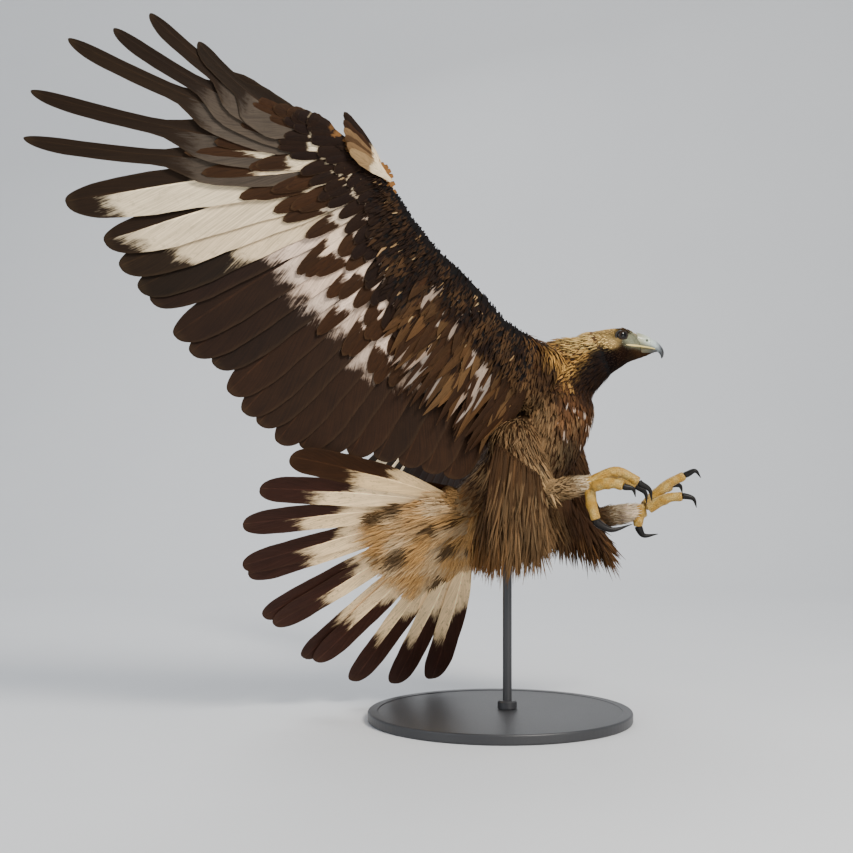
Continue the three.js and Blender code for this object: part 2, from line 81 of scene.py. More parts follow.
# Smooth patches of plus and minus, some millimetres across.
def clouds(points, reach):
    points = np.asarray(points, float)
    total = 0
    for turn in range(7):
        way = unit([math.sin(turn * 2.4 + 1), math.cos(turn * 1.7), math.sin(turn * 4.1 + 2)])
        total = total + np.sin(points @ way * (2 + 0.37 * turn) / reach + turn * 1.9)
    return total / 2.6


# A curve through given points that never overshoots where they crowd.
def fairPath(points, count):
    points = np.asarray(points, float)
    padded = np.vstack([2 * points[0] - points[1], points, 2 * points[-1] - points[-2]])
    place = np.linspace(0, len(points) - 1, count)
    at = np.minimum(place.astype(int), len(points) - 2)
    w = (place - at)[:, None]
    a, b, c, d = (padded[at + k] for k in range(4))
    ab, bc, cd = (np.sqrt(np.linalg.norm(q - p, axis=1))[:, None] for p, q in ((a, b), (b, c), (c, d)))
    leave = ((b - a) / ab - (c - a) / (ab + bc) + (c - b) / bc) * bc
    arrive = ((c - b) / bc - (d - b) / (bc + cd) + (d - c) / cd) * bc
    bend = -3 * b + 3 * c - 2 * leave - arrive
    close = 2 * b - 2 * c + leave + arrive
    return b + leave * w + bend * w**2 + close * w**3


# An oval section swept through stations of x, y, z, half height and half width.
def fairForm(stations, up, grow=0.0, rings=28):
    stations = np.asarray(stations, float)
    centre = fairPath(stations[:, :3], rings + 1)
    numbered = np.column_stack([stations[:, 3:5], np.arange(len(stations))])
    size = np.maximum(fairPath(numbered, rings + 1)[:, :2] + grow, 0.3)
    along = unit(np.gradient(centre, axis=0))
    up = np.asarray(up, float)
    high = unit(up - along * (along @ up)[:, None])
    return {"centre": centre, "along": along, "high": high, "wide": np.cross(along, high), "size": size}


def limbForm(joints, radii, grow=0.0, rings=24):
    stations = [[*joint, radius, radius] for joint, radius in zip(joints, radii)]
    return fairForm(stations, [0.1, 0.2, 1], grow, rings)


def ringTurns(sides):
    return np.linspace(0, 2 * np.pi, sides, endpoint=False)


# Points of a form's surface at parts t of its length and turns round it.
def formPoints(form, t, turn):
    steps = np.linspace(0, 1, len(form["centre"]))
    read = {
        key: np.stack([np.interp(t, steps, values[:, k]) for k in range(values.shape[1])], -1)
        for key, values in form.items()
    }
    high = read["high"] * (read["size"][..., 0] * np.cos(turn))[..., None]
    wide = read["wide"] * (read["size"][..., 1] * np.sin(turn))[..., None]
    return read["centre"] + high + wide, unit(read["along"])


def formRings(form, sides=28):
    steps = np.linspace(0, 1, len(form["centre"]))
    return [formPoints(form, np.full(sides, t), ringTurns(sides))[0] for t in steps]


# Closed walls through rings of points, in millimetres.
def loft(mesh, rings):
    loops = []
    for ring in rings:
        made = bmesh.ops.create_circle(mesh, segments=len(ring), radius=1)["verts"]
        for vert, place in zip(made, ring):
            vert.co = Vector(place) * mm
        loops.append(list({edge for vert in made for edge in vert.link_edges}))
    for low, high in zip(loops, loops[1:]):
        bmesh.ops.bridge_loops(mesh, edges=low + high)
    for end in (loops[0], loops[-1]):
        bmesh.ops.contextual_create(mesh, geom=end)


def linked(piece):
    bpy.context.scene.collection.objects.link(piece)
    return piece


def finishMesh(mesh, name, rough=False):
    bmesh.ops.remove_doubles(mesh, verts=mesh.verts, dist=1e-6)
    bmesh.ops.recalc_face_normals(mesh, faces=mesh.faces)
    data = bpy.data.meshes.new(name)
    mesh.to_mesh(data)
    mesh.free()
    if not rough:
        data.shade_smooth()
    return linked(bpy.data.objects.new(name, data))


def bakeModifiers(piece):
    graph = bpy.context.evaluated_depsgraph_get()
    whole = bpy.data.meshes.new_from_object(piece.evaluated_get(graph))
    piece.modifiers.clear()
    piece.data = whole
    whole.shade_smooth()


def remesh(piece, voxel, rounds, strength=0.5):
    net = piece.modifiers.new("net", "REMESH")
    net.mode = "VOXEL"
    net.voxel_size = voxel
    ease = piece.modifiers.new("ease", "SMOOTH")
    ease.factor = strength
    ease.iterations = rounds
    bakeModifiers(piece)


def carry(piece, slot, material, *nodes):
    piece.data.materials.clear()
    piece.data.materials.append(material)
    if nodes:
        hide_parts(*nodes)
    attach(piece, "root")


# Camera, lights and the pale floor that curves up behind.
camera = {"place": (-0.1139, -2.5, 0.4549), "lens": 68.07, "sensor": 36.0}
lens = bpy.data.cameras.new("camera")
lens.lens = camera["lens"]
lens.sensor_width = camera["sensor"]
viewer = linked(bpy.data.objects.new("camera", lens))
viewer.location = camera["place"]
viewer.rotation_euler = (math.pi / 2, 0, 0)
bpy.context.scene.camera = viewer

lampAim = Vector((-0.1, 0, 0.45))
lamps = {
    "key": {"place": (1.5, -2.3, 2.7), "size": 1.1, "power": 155, "colour": (1, 0.955, 0.88)},
    "fill": {"place": (-2.6, -1.9, 1.0), "size": 2.2, "power": 26, "colour": (0.88, 0.94, 1)},
    "rim": {"place": (-0.6, 2.0, 2.6), "size": 1.8, "power": 40, "colour": (1, 1, 1)},
    "low": {"place": (0.9, -1.8, 0.1), "size": 1.2, "power": 12, "colour": (1, 0.97, 0.92)},
}
for lampName, lamp in lamps.items():
    light = bpy.data.lights.new(lampName, "AREA")
    light.energy = lamp["power"]
    light.size = lamp["size"]
    light.color = lamp["colour"]
    holder = linked(bpy.data.objects.new(lampName, light))
    holder.location = lamp["place"]
    holder.rotation_euler = (lampAim - holder.location).to_track_quat("-Z", "Y").to_euler()

world = bpy.data.worlds.new("studio")
world.use_nodes = True
sky = world.node_tree.nodes["Background"].inputs
sky["Color"].default_value = (0.86, 0.92, 1, 1)
sky["Strength"].default_value = 0.6
bpy.context.scene.world = world

floorSize = {"front": -4.0, "back": 1.9, "side": 5.0, "bend": 1.2, "height": 4.0}


def studioFloor():
    mesh = bmesh.new()
    arc = [math.radians(90 * k / 12) for k in range(13)]
    bend = floorSize["bend"]
    profile = [(floorSize["front"], 0)]
    profile += [(floorSize["back"] + bend * math.sin(a), bend * (1 - math.cos(a))) for a in arc]
    profile.append((floorSize["back"] + bend, floorSize["height"]))
    row = [mesh.verts.new((-floorSize["side"], y, z)) for y, z in profile]
    edges = [mesh.edges.new(pair) for pair in zip(row, row[1:])]
    made = bmesh.ops.extrude_edge_only(mesh, edges=edges)["geom"]
    far = [part for part in made if isinstance(part, bmesh.types.BMVert)]
    bmesh.ops.translate(mesh, verts=far, vec=(2 * floorSize["side"], 0, 0))
    floor = finishMesh(mesh, "studio_floor")
    return floor


# Shader values that read as plain sums.
class Value:
    def __init__(self, tree, socket):
        self.tree = tree
        self.socket = socket

    def node(self, kind, settings, values, output=0):
        made = self.tree.nodes.new(kind)
        for name, setting in settings.items():
            if name == "stops":
                self.setStops(made.color_ramp, setting)
            else:
                setattr(made, name, setting)
        for name, value in values.items():
            if isinstance(value, Value):
                self.tree.links.new(value.socket, made.inputs[name])
            else:
                made.inputs[name].default_value = value
        return Value(self.tree, made.outputs[output])

    def setStops(self, ramp, stops):
        while len(ramp.elements) < len(stops):
            ramp.elements.new(1)
        for element, (place, colour) in zip(ramp.elements, stops):
            element.position = place
            element.color = (*colour, 1)

    def sum(self, operation, *values):
        return self.node("ShaderNodeMath", {"operation": operation}, dict(enumerate(values)))

    def __add__(self, other):
        return self.sum("ADD", self, other)

    def __sub__(self, other):
        return self.sum("SUBTRACT", self, other)

    def __rsub__(self, other):
        return self.sum("SUBTRACT", other, self)

    def __mul__(self, other):
        return self.sum("MULTIPLY", self, other)

    __radd__ = __add__
    __rmul__ = __mul__

    def between(self, low, high):
        settings = {"interpolation_type": "SMOOTHSTEP"}
        return self.node("ShaderNodeMapRange", settings, {0: self, 1: low, 2: high, 3: 0.0, 4: 1.0})

    # A share that leads from one colour to another.
    def fade(self, first, second):
        first, second = (end if isinstance(end, Value) else (*end, 1) for end in (first, second))
        return self.node("ShaderNodeMix", {"data_type": "RGBA"}, {0: self, 6: first, 7: second}, 2)

    def lit(self, share):
        return self.node("ShaderNodeVectorMath", {"operation": "SCALE"}, {0: self, 3: share})

    def part(self, axis):
        return self.node("ShaderNodeSeparateXYZ", {}, {0: self}, axis)

    def pack(self, *parts):
        return self.node("ShaderNodeCombineXYZ", {}, dict(enumerate(parts)))

    def attribute(self, name, output=0):
        return self.node("ShaderNodeAttribute", {"attribute_name": name}, {}, output)

    def noise(self, scale, detail=3.0, rough=0.55):
        values = {"Vector": self, "Scale": scale, "Detail": detail, "Roughness": rough}
        return self.node("ShaderNodeTexNoise", {}, values)

    def bump(self, strength, distance):
        return self.node("ShaderNodeBump", {}, {"Strength": strength, "Distance": distance, "Height": self})


# A material with its shader's fixed settings; returns what its patterns start from.
def finish(name, roughness, specular=0.4, coat=0.0):
    material = bpy.data.materials.new(name)
    material.use_nodes = True
    tree = material.node_tree
    shader = tree.nodes["Principled BSDF"]
    shader.inputs["Roughness"].default_value = roughness
    shader.inputs["Specular IOR Level"].default_value = specular
    shader.inputs["Coat Weight"].default_value = coat
    return material, Value(tree, tree.nodes.new("ShaderNodeTexCoord").outputs["Object"]), shader


def wire(shader, **links):
    for name, value in links.items():
        value.tree.links.new(value.socket, shader.inputs[name.replace("_", " ")])


# Feathers read two tones, where one gives way to the other, and their own lengthwise map.
plume = {
    "specular": 0.12, "slant": -0.28, "patchy": 0.24, "streaky": 0.14, "turnWidth": 0.04,
    "mottleReach": 0.42, "fringe": (0.84, 0.98), "tipFringe": (0.955, 0.99), "shaftWidth": 0.07,
    "bump": 0.25, "bumpDepth": 0.0006,
}


def plumeFinish(name, roughness, barbs, mottle, fringe, shaft):
    material, place, shader = finish(name, roughness, plume["specular"])
    near, far, lean = place.attribute("rootTone"), place.attribute("tipTone"), place.attribute("lean", 2)
    trait = place.attribute("trait", 1)
    edgeAt, spots, seed = (trait.part(k) for k in range(3))
    vane = place.node("ShaderNodeUVMap", {"uv_map": "Vane"}, {})
    u, v = vane.part(0), vane.part(1)
    off = u - 0.5
    side = off.sum("ABSOLUTE", off) * 2
    strands = place.pack((v + side * plume["slant"]) * barbs, u * 3, seed * 37).noise(1.0, 2.0, 0.6)
    cloud = place.pack(v * 5, u * 2, seed * 91).noise(1.6, 4.0, 0.6)
    ragged = v + (cloud - 0.5) * plume["patchy"] + (strands - 0.5) * plume["streaky"] + side * 0.04
    turn = ragged + (off.between(-0.03, 0.03) - 0.5) * lean - edgeAt
    colour = turn.between(-plume["turnWidth"], plume["turnWidth"]).fade(near, far)
    if mottle:
        blots = place.pack(v * 34, u * 9, seed * 53).noise(1.0, 3.0, 0.7).between(0.56, 0.64)
        colour = (blots * spots * turn.between(-plume["mottleReach"], 0.0)).fade(colour, far)
    if fringe:
        rim = side.between(*plume["fringe"])
        rim = rim.sum("MAXIMUM", rim, v.between(*plume["tipFringe"]))
        colour = (rim * fringe).fade(colour, tone("buff"))
    spine = 1 - side.between(plume["shaftWidth"] * 0.4, plume["shaftWidth"])
    shade = (0.4 + strands * 1.2) * (0.7 + cloud * 0.6) * (1 + spine * shaft)
    height = strands * 0.7 + spine * 0.8
    wire(shader, Base_Color=colour.lit(shade), Normal=height.bump(plume["bump"], plume["bumpDepth"]))
    return material


def smoothFinish(name, roughness, stops, axis, low, high, grain, depth, specular=0.5, coat=0.0):
    material, place, shader = finish(name, roughness, specular, coat)
    share = (place.part(axis) + (place.noise(260.0) - 0.5) * 0.004 - low) * (1 / (high - low))
    colour = place.node("ShaderNodeValToRGB", {"stops": stops}, {0: share})
    fine = place.noise(grain, 4.0, 0.6)
    wire(shader, Base_Color=colour.lit(0.72 + fine * 0.56), Normal=fine.bump(0.35, depth))
    return material


# Bare toes: small raised scales; the creases between them are darkened as painted shade.
def scaleFinish():
    material, place, shader = finish("toeSkin", 0.5, 0.45)
    settings = {"feature": "DISTANCE_TO_EDGE"}
    cells = place.node("ShaderNodeTexVoronoi", settings, {"Vector": place, "Scale": 420.0})
    creaseDepthAndShade = cells.between(0.02, 0.16)
    stain = place.noise(90.0, 4.0)
    colour = stain.between(0.35, 0.72).fade((0.5, 0.26, 0.025), (0.64, 0.43, 0.12))
    relief = (creaseDepthAndShade + stain * 0.2).bump(0.7, 0.0007)
    # The colour drops to under half in the creases: painted shade.
    wire(shader, Base_Color=colour.lit(0.45 + creaseDepthAndShade * 0.55), Normal=relief)
    return material


def standFinish():
    material, place, shader = finish("satinCoat", 0.42, 0.5)
    fine = place.noise(900.0, 2.0)
    colour = place.noise(14.0, 3.0).fade((0.022, 0.022, 0.024), (0.034, 0.034, 0.037))
    wire(shader, Base_Color=colour, Roughness=0.34 + fine * 0.16, Normal=fine.bump(0.25, 0.0002))
    return material


def skinFinish():
    material, place, shader = finish("downUnderCoatPaintedShade", 0.9, 0.05)
    fine = place.noise(420.0, 4.0, 0.65)
    # The feathers' root tones, darkened to between a quarter and most of their value: painted shade in the
    # gaps under the coat.
    colour = place.attribute("rootTone").lit(0.25 + fine * 0.6)
    wire(shader, Base_Color=colour, Normal=fine.bump(0.6, 0.0015))
    return material


def floorFinish():
    material, place, shader = finish("paleFloor", 0.75, 0.25)
    wire(shader, Base_Color=place.noise(3.0, 3.0).fade((0.66, 0.67, 0.69), (0.7, 0.71, 0.72)))
    return material


coatFinish = plumeFinish("contourFeathers", 0.75, 30, True, 0.05, -0.2)
flightFinish = plumeFinish("flightFeathers", 0.62, 70, True, 0.03, 0.5)
crestFinish = plumeFinish("headFeathers", 0.75, 12, False, 0.0, -0.3)
studioFloor().data.materials.append(floorFinish())
print("camera, light and finishes are ready")


# The body's stations, as in the solids: centre, half depth, half width; the skin lies deeper.
torso = {
    "stations": [
        [-50, 0, 326, 20, 27], [-32, 0, 337, 34, 42], [-6, 0, 356, 50, 54], [24, 0, 383, 62, 62],
        [52, 0, 421, 69, 68], [73, 0, 463, 72, 71], [83, 0, 500, 69, 68], [87, 0, 530, 52, 54],
        [88, 0, 546, 30, 34],
    ],
    "up": [-0.819, 0.469, 0.331],
    "depth": -8,
}
neck = {
    "stations": [
        [62, 0, 505, 56, 54], [88, 0, 529, 58, 53], [111, 0, 543, 55, 48], [134.5, 0, 556, 44, 41],
        [149.5, 0, 565, 39, 37.5], [160.5, 0, 569.8, 36, 35.5],
    ],
    "up": [0, 0, 1],
    "depth": -3.5,
}
head = {
    "stations": [
        [149.5, 0, 565, 39, 37.5], [160.5, 0, 569.8, 36, 35.5], [175, 0, 575.2, 33, 33.5],
        [188, 0, 578.5, 30, 30.5], [200, 0, 579.5, 25, 25.5], [210, 0, 579.5, 20.8, 20],
        [216.5, 0, 580, 17.5, 15.5],
    ],
    "up": [0, 0, 1],
    "depth": -1,
}
legs = {
    "right": {
        "hip": [32, -40, 452], "knee": [19, -74, 424], "heel": [61, -96, 357], "foot": [131, -120, 371],
    },
    "left": {
        "hip": [74, 34, 456], "knee": [92, 58, 418], "heel": [144, 60, 308], "foot": [226, 50, 321],
    },
}
legSizes = {"thigh": [30, 42, 34, 20], "shin": [20, 21, 19.5, 15.5], "thighDepth": -6, "shinDepth": -5}
torsoForm, neckForm, headForm = (
    fairForm(part["stations"], part["up"], part["depth"]) for part in (torso, neck, head)
)


def pointBetween(a, b, share):
    return [x + (y - x) * share for x, y in zip(a, b)]


def thighForm(leg):
    joints = [leg["hip"], leg["knee"], pointBetween(leg["knee"], leg["heel"], 0.5), leg["heel"]]
    return limbForm(joints, legSizes["thigh"], legSizes["thighDepth"])


def shinForm(leg):
    joints = [pointBetween(leg["heel"], leg["foot"], share) for share in (0, 0.08, 0.55)]
    return limbForm(joints + [leg["foot"]], legSizes["shin"], legSizes["shinDepth"])


# Wing plan: out from the shoulder, forward to the leading edge, up to the back.
wingPlan = {
    "elbow": [204, -26],
    "wrist": [336, 124],
    "handEnd": [467, 127],
    "core": [
        [-34, -14, 50, 31], [20, -14, 48, 28], [70, -8, 44, 23], [120, 6, 48, 18], [170, 18, 50, 15],
        [214, 30, 47, 13], [262, 60, 34, 11.5], [310, 96, 20, 10.5], [340, 113, 14, 10],
        [400, 122, 11, 8], [470, 125, 7, 5],
    ],
    "skinDepth": -3,
    "sweepReach": 260,
    "tipRise": 100,
    "tipFrom": (340, 480),
    "trailingDrop": 14,
    "rearFrom": (60, 340),
    "hand": (290, 70),
    "smallHand": (270, 90),
    "fingers": (385, 80),
}
wings = {
    "right": {
        "origin": [44, -62, 555], "out": [-0.8187, -0.375, 0.4348], "fore": [0.469, 0, 0.883], "sweep": 0,
        "pale": 1, "shoulderLie": [-0.25, 0, -0.9],
    },
    "left": {
        "origin": [105, 62, 531], "out": [-0.318, 0.94, 0.128], "fore": [0.427, -0.086, 0.9], "sweep": -18,
        # The far wing's arm feathers get a smaller pale share, so they are darker: painted shade behind the
        # body.
        "pale": 0.45, "shoulderLie": [-0.5, 0.1, -0.8],
    },
}


def wingFrame(wing):
    out = unit(wing["out"])
    fore = np.asarray(wing["fore"], float)
    return out, unit(fore - out * (fore @ out))


def towardsBack(way):
    return -way if way @ np.asarray(torso["up"]) < 0 else way


def wingPlace(wing):
    out, fore = wingFrame(wing)
    back = towardsBack(np.cross(out, fore))

    def place(plan, height):
        a, b = plan[..., 0], plan[..., 1]
        turn = math.radians(wing["sweep"]) * np.clip(a / wingPlan["sweepReach"], 0, 1)
        span = np.maximum(0, a - wingPlan["tipFrom"][0]) / wingPlan["tipFrom"][1]
        rear = np.maximum(0, wingPlan["rearFrom"][0] - b) / wingPlan["rearFrom"][1]
        lift = height + wingPlan["tipRise"] * span**2 - wingPlan["trailingDrop"] * rear**2
        along = (a * np.cos(turn) - b * np.sin(turn))[..., None] * out
        ahead = (a * np.sin(turn) + b * np.cos(turn))[..., None] * fore
        return np.asarray(wing["origin"]) + along + ahead + lift[..., None] * back

    return place


def wingCore(place, rings=30, sides=24):
    made = []
    for a, b, chord, thick in fairPath(wingPlan["core"], rings):
        chord = max(chord + wingPlan["skinDepth"], 3)
        thick = max(thick + wingPlan["skinDepth"], 2.2)
        plan = np.stack([np.full(sides, a), b + chord * np.cos(ringTurns(sides))], -1)
        made.append(place(plan, thick * np.sin(ringTurns(sides))))
    return made


tail = {
    "root": [-40, 0, 333],
    "axis": [-0.853, 0, -0.521],
    "across": [-0.387, -0.669, 0.634],
    "stub": [[-30, 24, 20], [10, 30, 18], [45, 32, 14], [75, 26, 9]],
    "skinDepth": -4,
    "lengths": [329, 352, 364, 364, 358, 362, 356, 364, 358, 367, 359, 349],
    "angles": [56.5, 46, 35.5, 23, 19.5, 4.5, 0.5, -14.5, -18, -31.5, -43.5, -54],
    "width": 48.76,
}


def tailPlace(plan, height):
    axis, across = unit(tail["axis"]), unit(tail["across"])
    back = towardsBack(unit(np.cross(across, axis)))
    flat = np.asarray(tail["root"]) + plan[..., :1] * axis + plan[..., 1:2] * across
    return flat + np.asarray(height)[..., None] * back


def tailStub(sides=24):
    made = []
    for a, wide, high in fairPath(tail["stub"], 10):
        plan = np.stack([np.full(sides, a), (wide + tail["skinDepth"]) * np.sin(ringTurns(sides))], -1)
        made.append(tailPlace(plan, (high + tail["skinDepth"]) * np.cos(ringTurns(sides))))
    return made


eye = {
    "radius": 11, "place": [185.5, 18.6, 594.7], "lid": 8.5, "bareRim": 0.9, "ahead": 0.3, "up": 0.02,
    "irisAngle": 46, "dome": 0.04,
}
smallForms = {
    "brow": [[172, 24.5, 600.5], [184, 26, 603.8], [196, 23.5, 602.3], [208, 16.5, 597]],
    "browRadii": [3, 3.8, 3.4, 2],
    "browDepth": -0.6,
    "chin": [[200, 0, 567], [214, 0, 567.5], [228, 0, 568.6], [240, 0, 570.2]],
    "chinRadii": [14, 9.8, 6.2, 2.6],
    "chinDepth": -1.5,
    "flank": [[34, 68, 440], [2, 70, 394], [-34, 48, 352], [-61, 24, 337]],
    "flankRadii": [30, 34, 31, 23],
    "flankDepth": -6,
    "leftHipAhead": 12,
}


# Brow, chin under the bill, and the flank that closes thigh, belly and tail.
def smallForm(name, side=1):
    joints = [[x, side * y, z] for x, y, z in smallForms[name]]
    if name == "flank" and side > 0:
        joints[0][0] += smallForms["leftHipAhead"]
    return limbForm(joints, smallForms[name + "Radii"], smallForms[name + "Depth"])


# One skin under the whole coat: no seam from the bill to the toes and wing tips.
def makeSkin():
    mesh = bmesh.new()
    for form in (torsoForm, neckForm, headForm):
        loft(mesh, formRings(form))
    for leg in legs.values():
        loft(mesh, formRings(thighForm(leg)))
        loft(mesh, formRings(shinForm(leg)))
    for wing in wings.values():
        loft(mesh, wingCore(wingPlace(wing)))
    loft(mesh, tailStub())
    for side in (-1, 1):
        loft(mesh, formRings(smallForm("brow", side), 14))
        loft(mesh, formRings(smallForm("flank", side)))
    loft(mesh, formRings(smallForm("chin"), 16))
    piece = finishMesh(mesh, "skin")
    remesh(piece, 0.003, 9)
    return piece


skin = makeSkin()
skinTree = BVHTree.FromObject(skin, bpy.context.evaluated_depsgraph_get())
print("skin", len(skin.data.polygons))


# One feather's grid: both faces of the vane meet along its rim.
def vanePattern(across, along, crowd):
    mesh = bmesh.new()
    bmesh.ops.create_grid(mesh, x_segments=across, y_segments=along, size=1)
    copy = bmesh.ops.duplicate(mesh, geom=mesh.verts[:] + mesh.edges[:] + mesh.faces[:])["geom"]
    below = {part for part in copy if isinstance(part, bmesh.types.BMVert)}
    bmesh.ops.reverse_faces(mesh, faces=[part for part in copy if isinstance(part, bmesh.types.BMFace)])
    reach = max(vert.co.x for vert in mesh.verts)
    for vert in mesh.verts:
        vert.co /= reach
        inner = abs(vert.co.x) < 0.99 and abs(vert.co.y) < 0.99
        vert.co.z = (-1 if vert in below else 1) if inner else 0
    bmesh.ops.remove_doubles(mesh, verts=mesh.verts, dist=1e-4)
    grid = np.array([vert.co for vert in mesh.verts])
    faces = np.array([[vert.index for vert in face.verts] for face in mesh.faces])
    mesh.free()
    t = 1 - (1 - (grid[:, 1] + 1) / 2) ** crowd
    return {"u": grid[:, 0], "t": t, "side": grid[:, 2], "faces": faces}


patterns = {
    "flight": vanePattern(8, 26, 1.8),
    "covert": vanePattern(4, 8, 1.7),
    "tuft": vanePattern(2, 4, 1.3),
    "lock": vanePattern(2, 6, 1.2),
}


# A vane's width at its root, where it is widest, where its end begins, how round that is, its notch.
outlines = {
    "round": (0.16, 0.3, 0.7, 2.3, 0.0),
    "finger": (0.16, 0.25, 0.86, 2.0, 0.62),
    "rectrix": (0.14, 0.62, 0.84, 2.4, 0.0),
    "covert": (0.3, 0.5, 0.6, 2.2, 0.0),
    "leaf": (0.5, 0.4, 0.4, 1.9, 0.0),
    "lance": (0.5, 0.3, 0.2, 1.35, 0.0),
}
usualVane = {
    "side": 1, "tilt": 0, "bow": 0, "sway": 0, "crown": 0, "thick": 0.5, "shaft": 0, "fray": 0.05,
    "spots": 0, "lean": 0,
}


# Every number of a flock as a column, one row for each feather.
def filled(flock):
    full = {**usualVane, **flock}
    if "width" in full:
        full["lead"] = full["trail"] = full["width"] * 0.5
    for key, values in full.items():
        if np.ndim(values) < 2:
            full[key] = np.broadcast_to(np.asarray(values, float), len(flock["root"]))[:, None]
    return full


# Lengthwise, crosswise and outward place of each vertex in each feather's own frame.
def vaneShape(pattern, outline, flock):
    base, widest, shoulder, roundness, notch = outlines[outline]
    u, t, face = (pattern[key][None] for key in ("u", "t", "side"))
    end = np.clip((t - shoulder) / (1 - shoulder), 0, 1)
    cap = (1 - end**roundness) ** (1 / roundness)
    cut = 1 - notch * ramp(t, 0.44, 0.17)
    half = (base + (1 - base) * ramp(t, 0, widest)) * np.maximum(cap, 0.03) * cut
    wavy = np.sin(t * 31 + flock["seed"] * 80) + 0.6 * np.sin(t * 67 + flock["seed"] * 190)
    width = np.where(u > 0, flock["lead"], flock["trail"])
    across = u * half * width * (1 + flock["fray"] * wavy) - 4 * flock["bow"] * t * (1 - t)
    thick = flock["thick"] * (1 - 0.4 * t) / 2 + flock["shaft"] * (np.abs(u) < 0.1) * (1 - 0.7 * t)
    return flock["length"] * t, across, face * thick - flock["crown"] * u**2 * half


# Feathers laid in a wing's or the tail's flat plan and then bent with it.
def planFeathers(place, pattern, outline, flock):
    flock = filled(flock)
    x, y, z = vaneShape(patterns[pattern], outline, flock)
    t = patterns[pattern]["t"][None]
    angle, tilt = np.radians(flock["angle"]), np.radians(flock["tilt"])
    root, flat = flock["root"], y * np.cos(tilt)
    ahead = root[:, :1] + x * np.cos(angle) - flat * np.sin(angle)
    aside = root[:, 1:2] + x * np.sin(angle) + flat * np.cos(angle)
    lift = flock["start"] + (flock["end"] - flock["start"]) * t * (2 - t)
    height = lift + y * np.sin(tilt) + flock["side"] * z
    spot = root * 0.0009 + 0.06 + 0.45 * (flock["side"] < 0)
    return gather(place(np.stack([ahead, aside], -1), height), pattern, flock, spot)


# Feathers rooted in the skin: they follow it, and stand off it towards their tips.
def bodyFeathers(pattern, outline, flock):
    flock = filled(flock)
    x, y, z = vaneShape(patterns[pattern], outline, flock)
    t = patterns[pattern]["t"][None]
    rise = z - flock["drop"] * t**2 + flock["stand"] * t**0.8 - 1.0
    points = flock["root"][:, None]
    for reach, way in ((x, "along"), (y + flock["sway"] * t**2, "across"), (rise, "out")):
        points = points + reach[..., None] * flock[way][:, None]
    return gather(points, pattern, flock, flock["spot"])


def gather(points, pattern, flock, spot):
    shape = patterns[pattern]
    count, many = points.shape[:2]
    faces = shape["faces"]
    a, b, c, d = (points[0][faces[:, k]] for k in range(4))
    outward = np.einsum("ij,ij->i", a, np.cross(b, c)) + np.einsum("ij,ij->i", a, np.cross(c, d))
    if outward.sum() < 0:
        faces = faces[:, ::-1]

    def spread(values):
        return np.broadcast_to(values, (count, many, values.shape[-1])).reshape(-1, values.shape[-1])

    return {
        "points": points.reshape(-1, 3) * mm,
        "faces": (faces[None] + (np.arange(count) * many)[:, None, None]).reshape(-1, 4),
        "near": spread(flock["near"][:, None]),
        "far": spread(flock["far"][:, None]),
        "trait": spread(np.stack([flock["edge"], flock["spots"], flock["seed"]], -1)),
        "lean": spread(flock["lean"][:, None]),
        "vane": spread(np.stack([shape["u"] / 2 + 0.5, shape["t"]], -1)[None]),
        "bake": (spot[:, None] % 1 + np.stack([shape["u"], shape["t"] * 2 - 1], -1) * 0.0015).reshape(-1, 2),
        "rim": spread((shape["side"] == 0)[:, None]),
        "roots": points[:, 0] * mm,
        "rootTone": (flock["near"] + flock["far"]) * 0.5,
    }


def addLayer(data, name, kind, field, values, domain="POINT"):
    layer = data.attributes.get(name) or data.attributes.new(name, kind, domain)
    layer.data.foreach_set(field, values.ravel())


rootNotes = []


def featherPiece(name, groups, material, slot, *nodes):
    starts = np.cumsum([0] + [len(group["points"]) for group in groups[:-1]])
    joined = {key: np.concatenate([group[key] for group in groups]) for key in groups[0]}
    faces = np.concatenate([group["faces"] + start for group, start in zip(groups, starts)])
    rootNotes.append((joined["roots"], joined["rootTone"]))
    data = bpy.data.meshes.new(name)
    data.vertices.add(len(joined["points"]))
    data.vertices.foreach_set("co", joined["points"].ravel())
    data.loops.add(faces.size)
    data.loops.foreach_set("vertex_index", faces.ravel().astype(np.int32))
    data.polygons.add(len(faces))
    data.polygons.foreach_set("loop_start", np.arange(0, faces.size, 4, dtype=np.int32))
    data.update(calc_edges=True)
    for key, values in (("Vane", joined["vane"]), ("OFBake", joined["bake"])):
        data.uv_layers.new(name=key).data.foreach_set("uv", values[faces.ravel()].ravel())
    for key, values in (("rootTone", joined["near"]), ("tipTone", joined["far"])):
        addLayer(data, key, "FLOAT_COLOR", "color", np.column_stack([values, np.ones(len(values))]))
    addLayer(data, "trait", "FLOAT_VECTOR", "vector", joined["trait"])
    addLayer(data, "lean", "FLOAT", "value", joined["lean"])
    ends = np.zeros(len(data.edges) * 2, np.int32)
    data.edges.foreach_get("vertices", ends)
    data.validate()
    data.shade_smooth()
    rim = joined["rim"][ends, 0].reshape(-1, 2).all(axis=1)
    addLayer(data, "sharp_edge", "BOOLEAN", "value", rim, "EDGE")
    print(name, len(faces) * 2, "triangles")
    carry(linked(bpy.data.objects.new(name, data)), slot, material, *nodes)


def blend(first, second, share):
    share = np.asarray(share, float)[..., None]
    return first * (1 - share) + second * share


# A little of each feather's own: lighter or darker, warmer or greyer.
def varied(colours, amount):
    colours = np.array(colours, float)
    light = 1 + shaken(amount, (len(colours), 1))
    warm = 1 + shaken(amount * 0.25, (len(colours), 1)) * np.array([[1, 0, -1]])
    return np.clip(colours * light * warm, 0.002, 0.95)


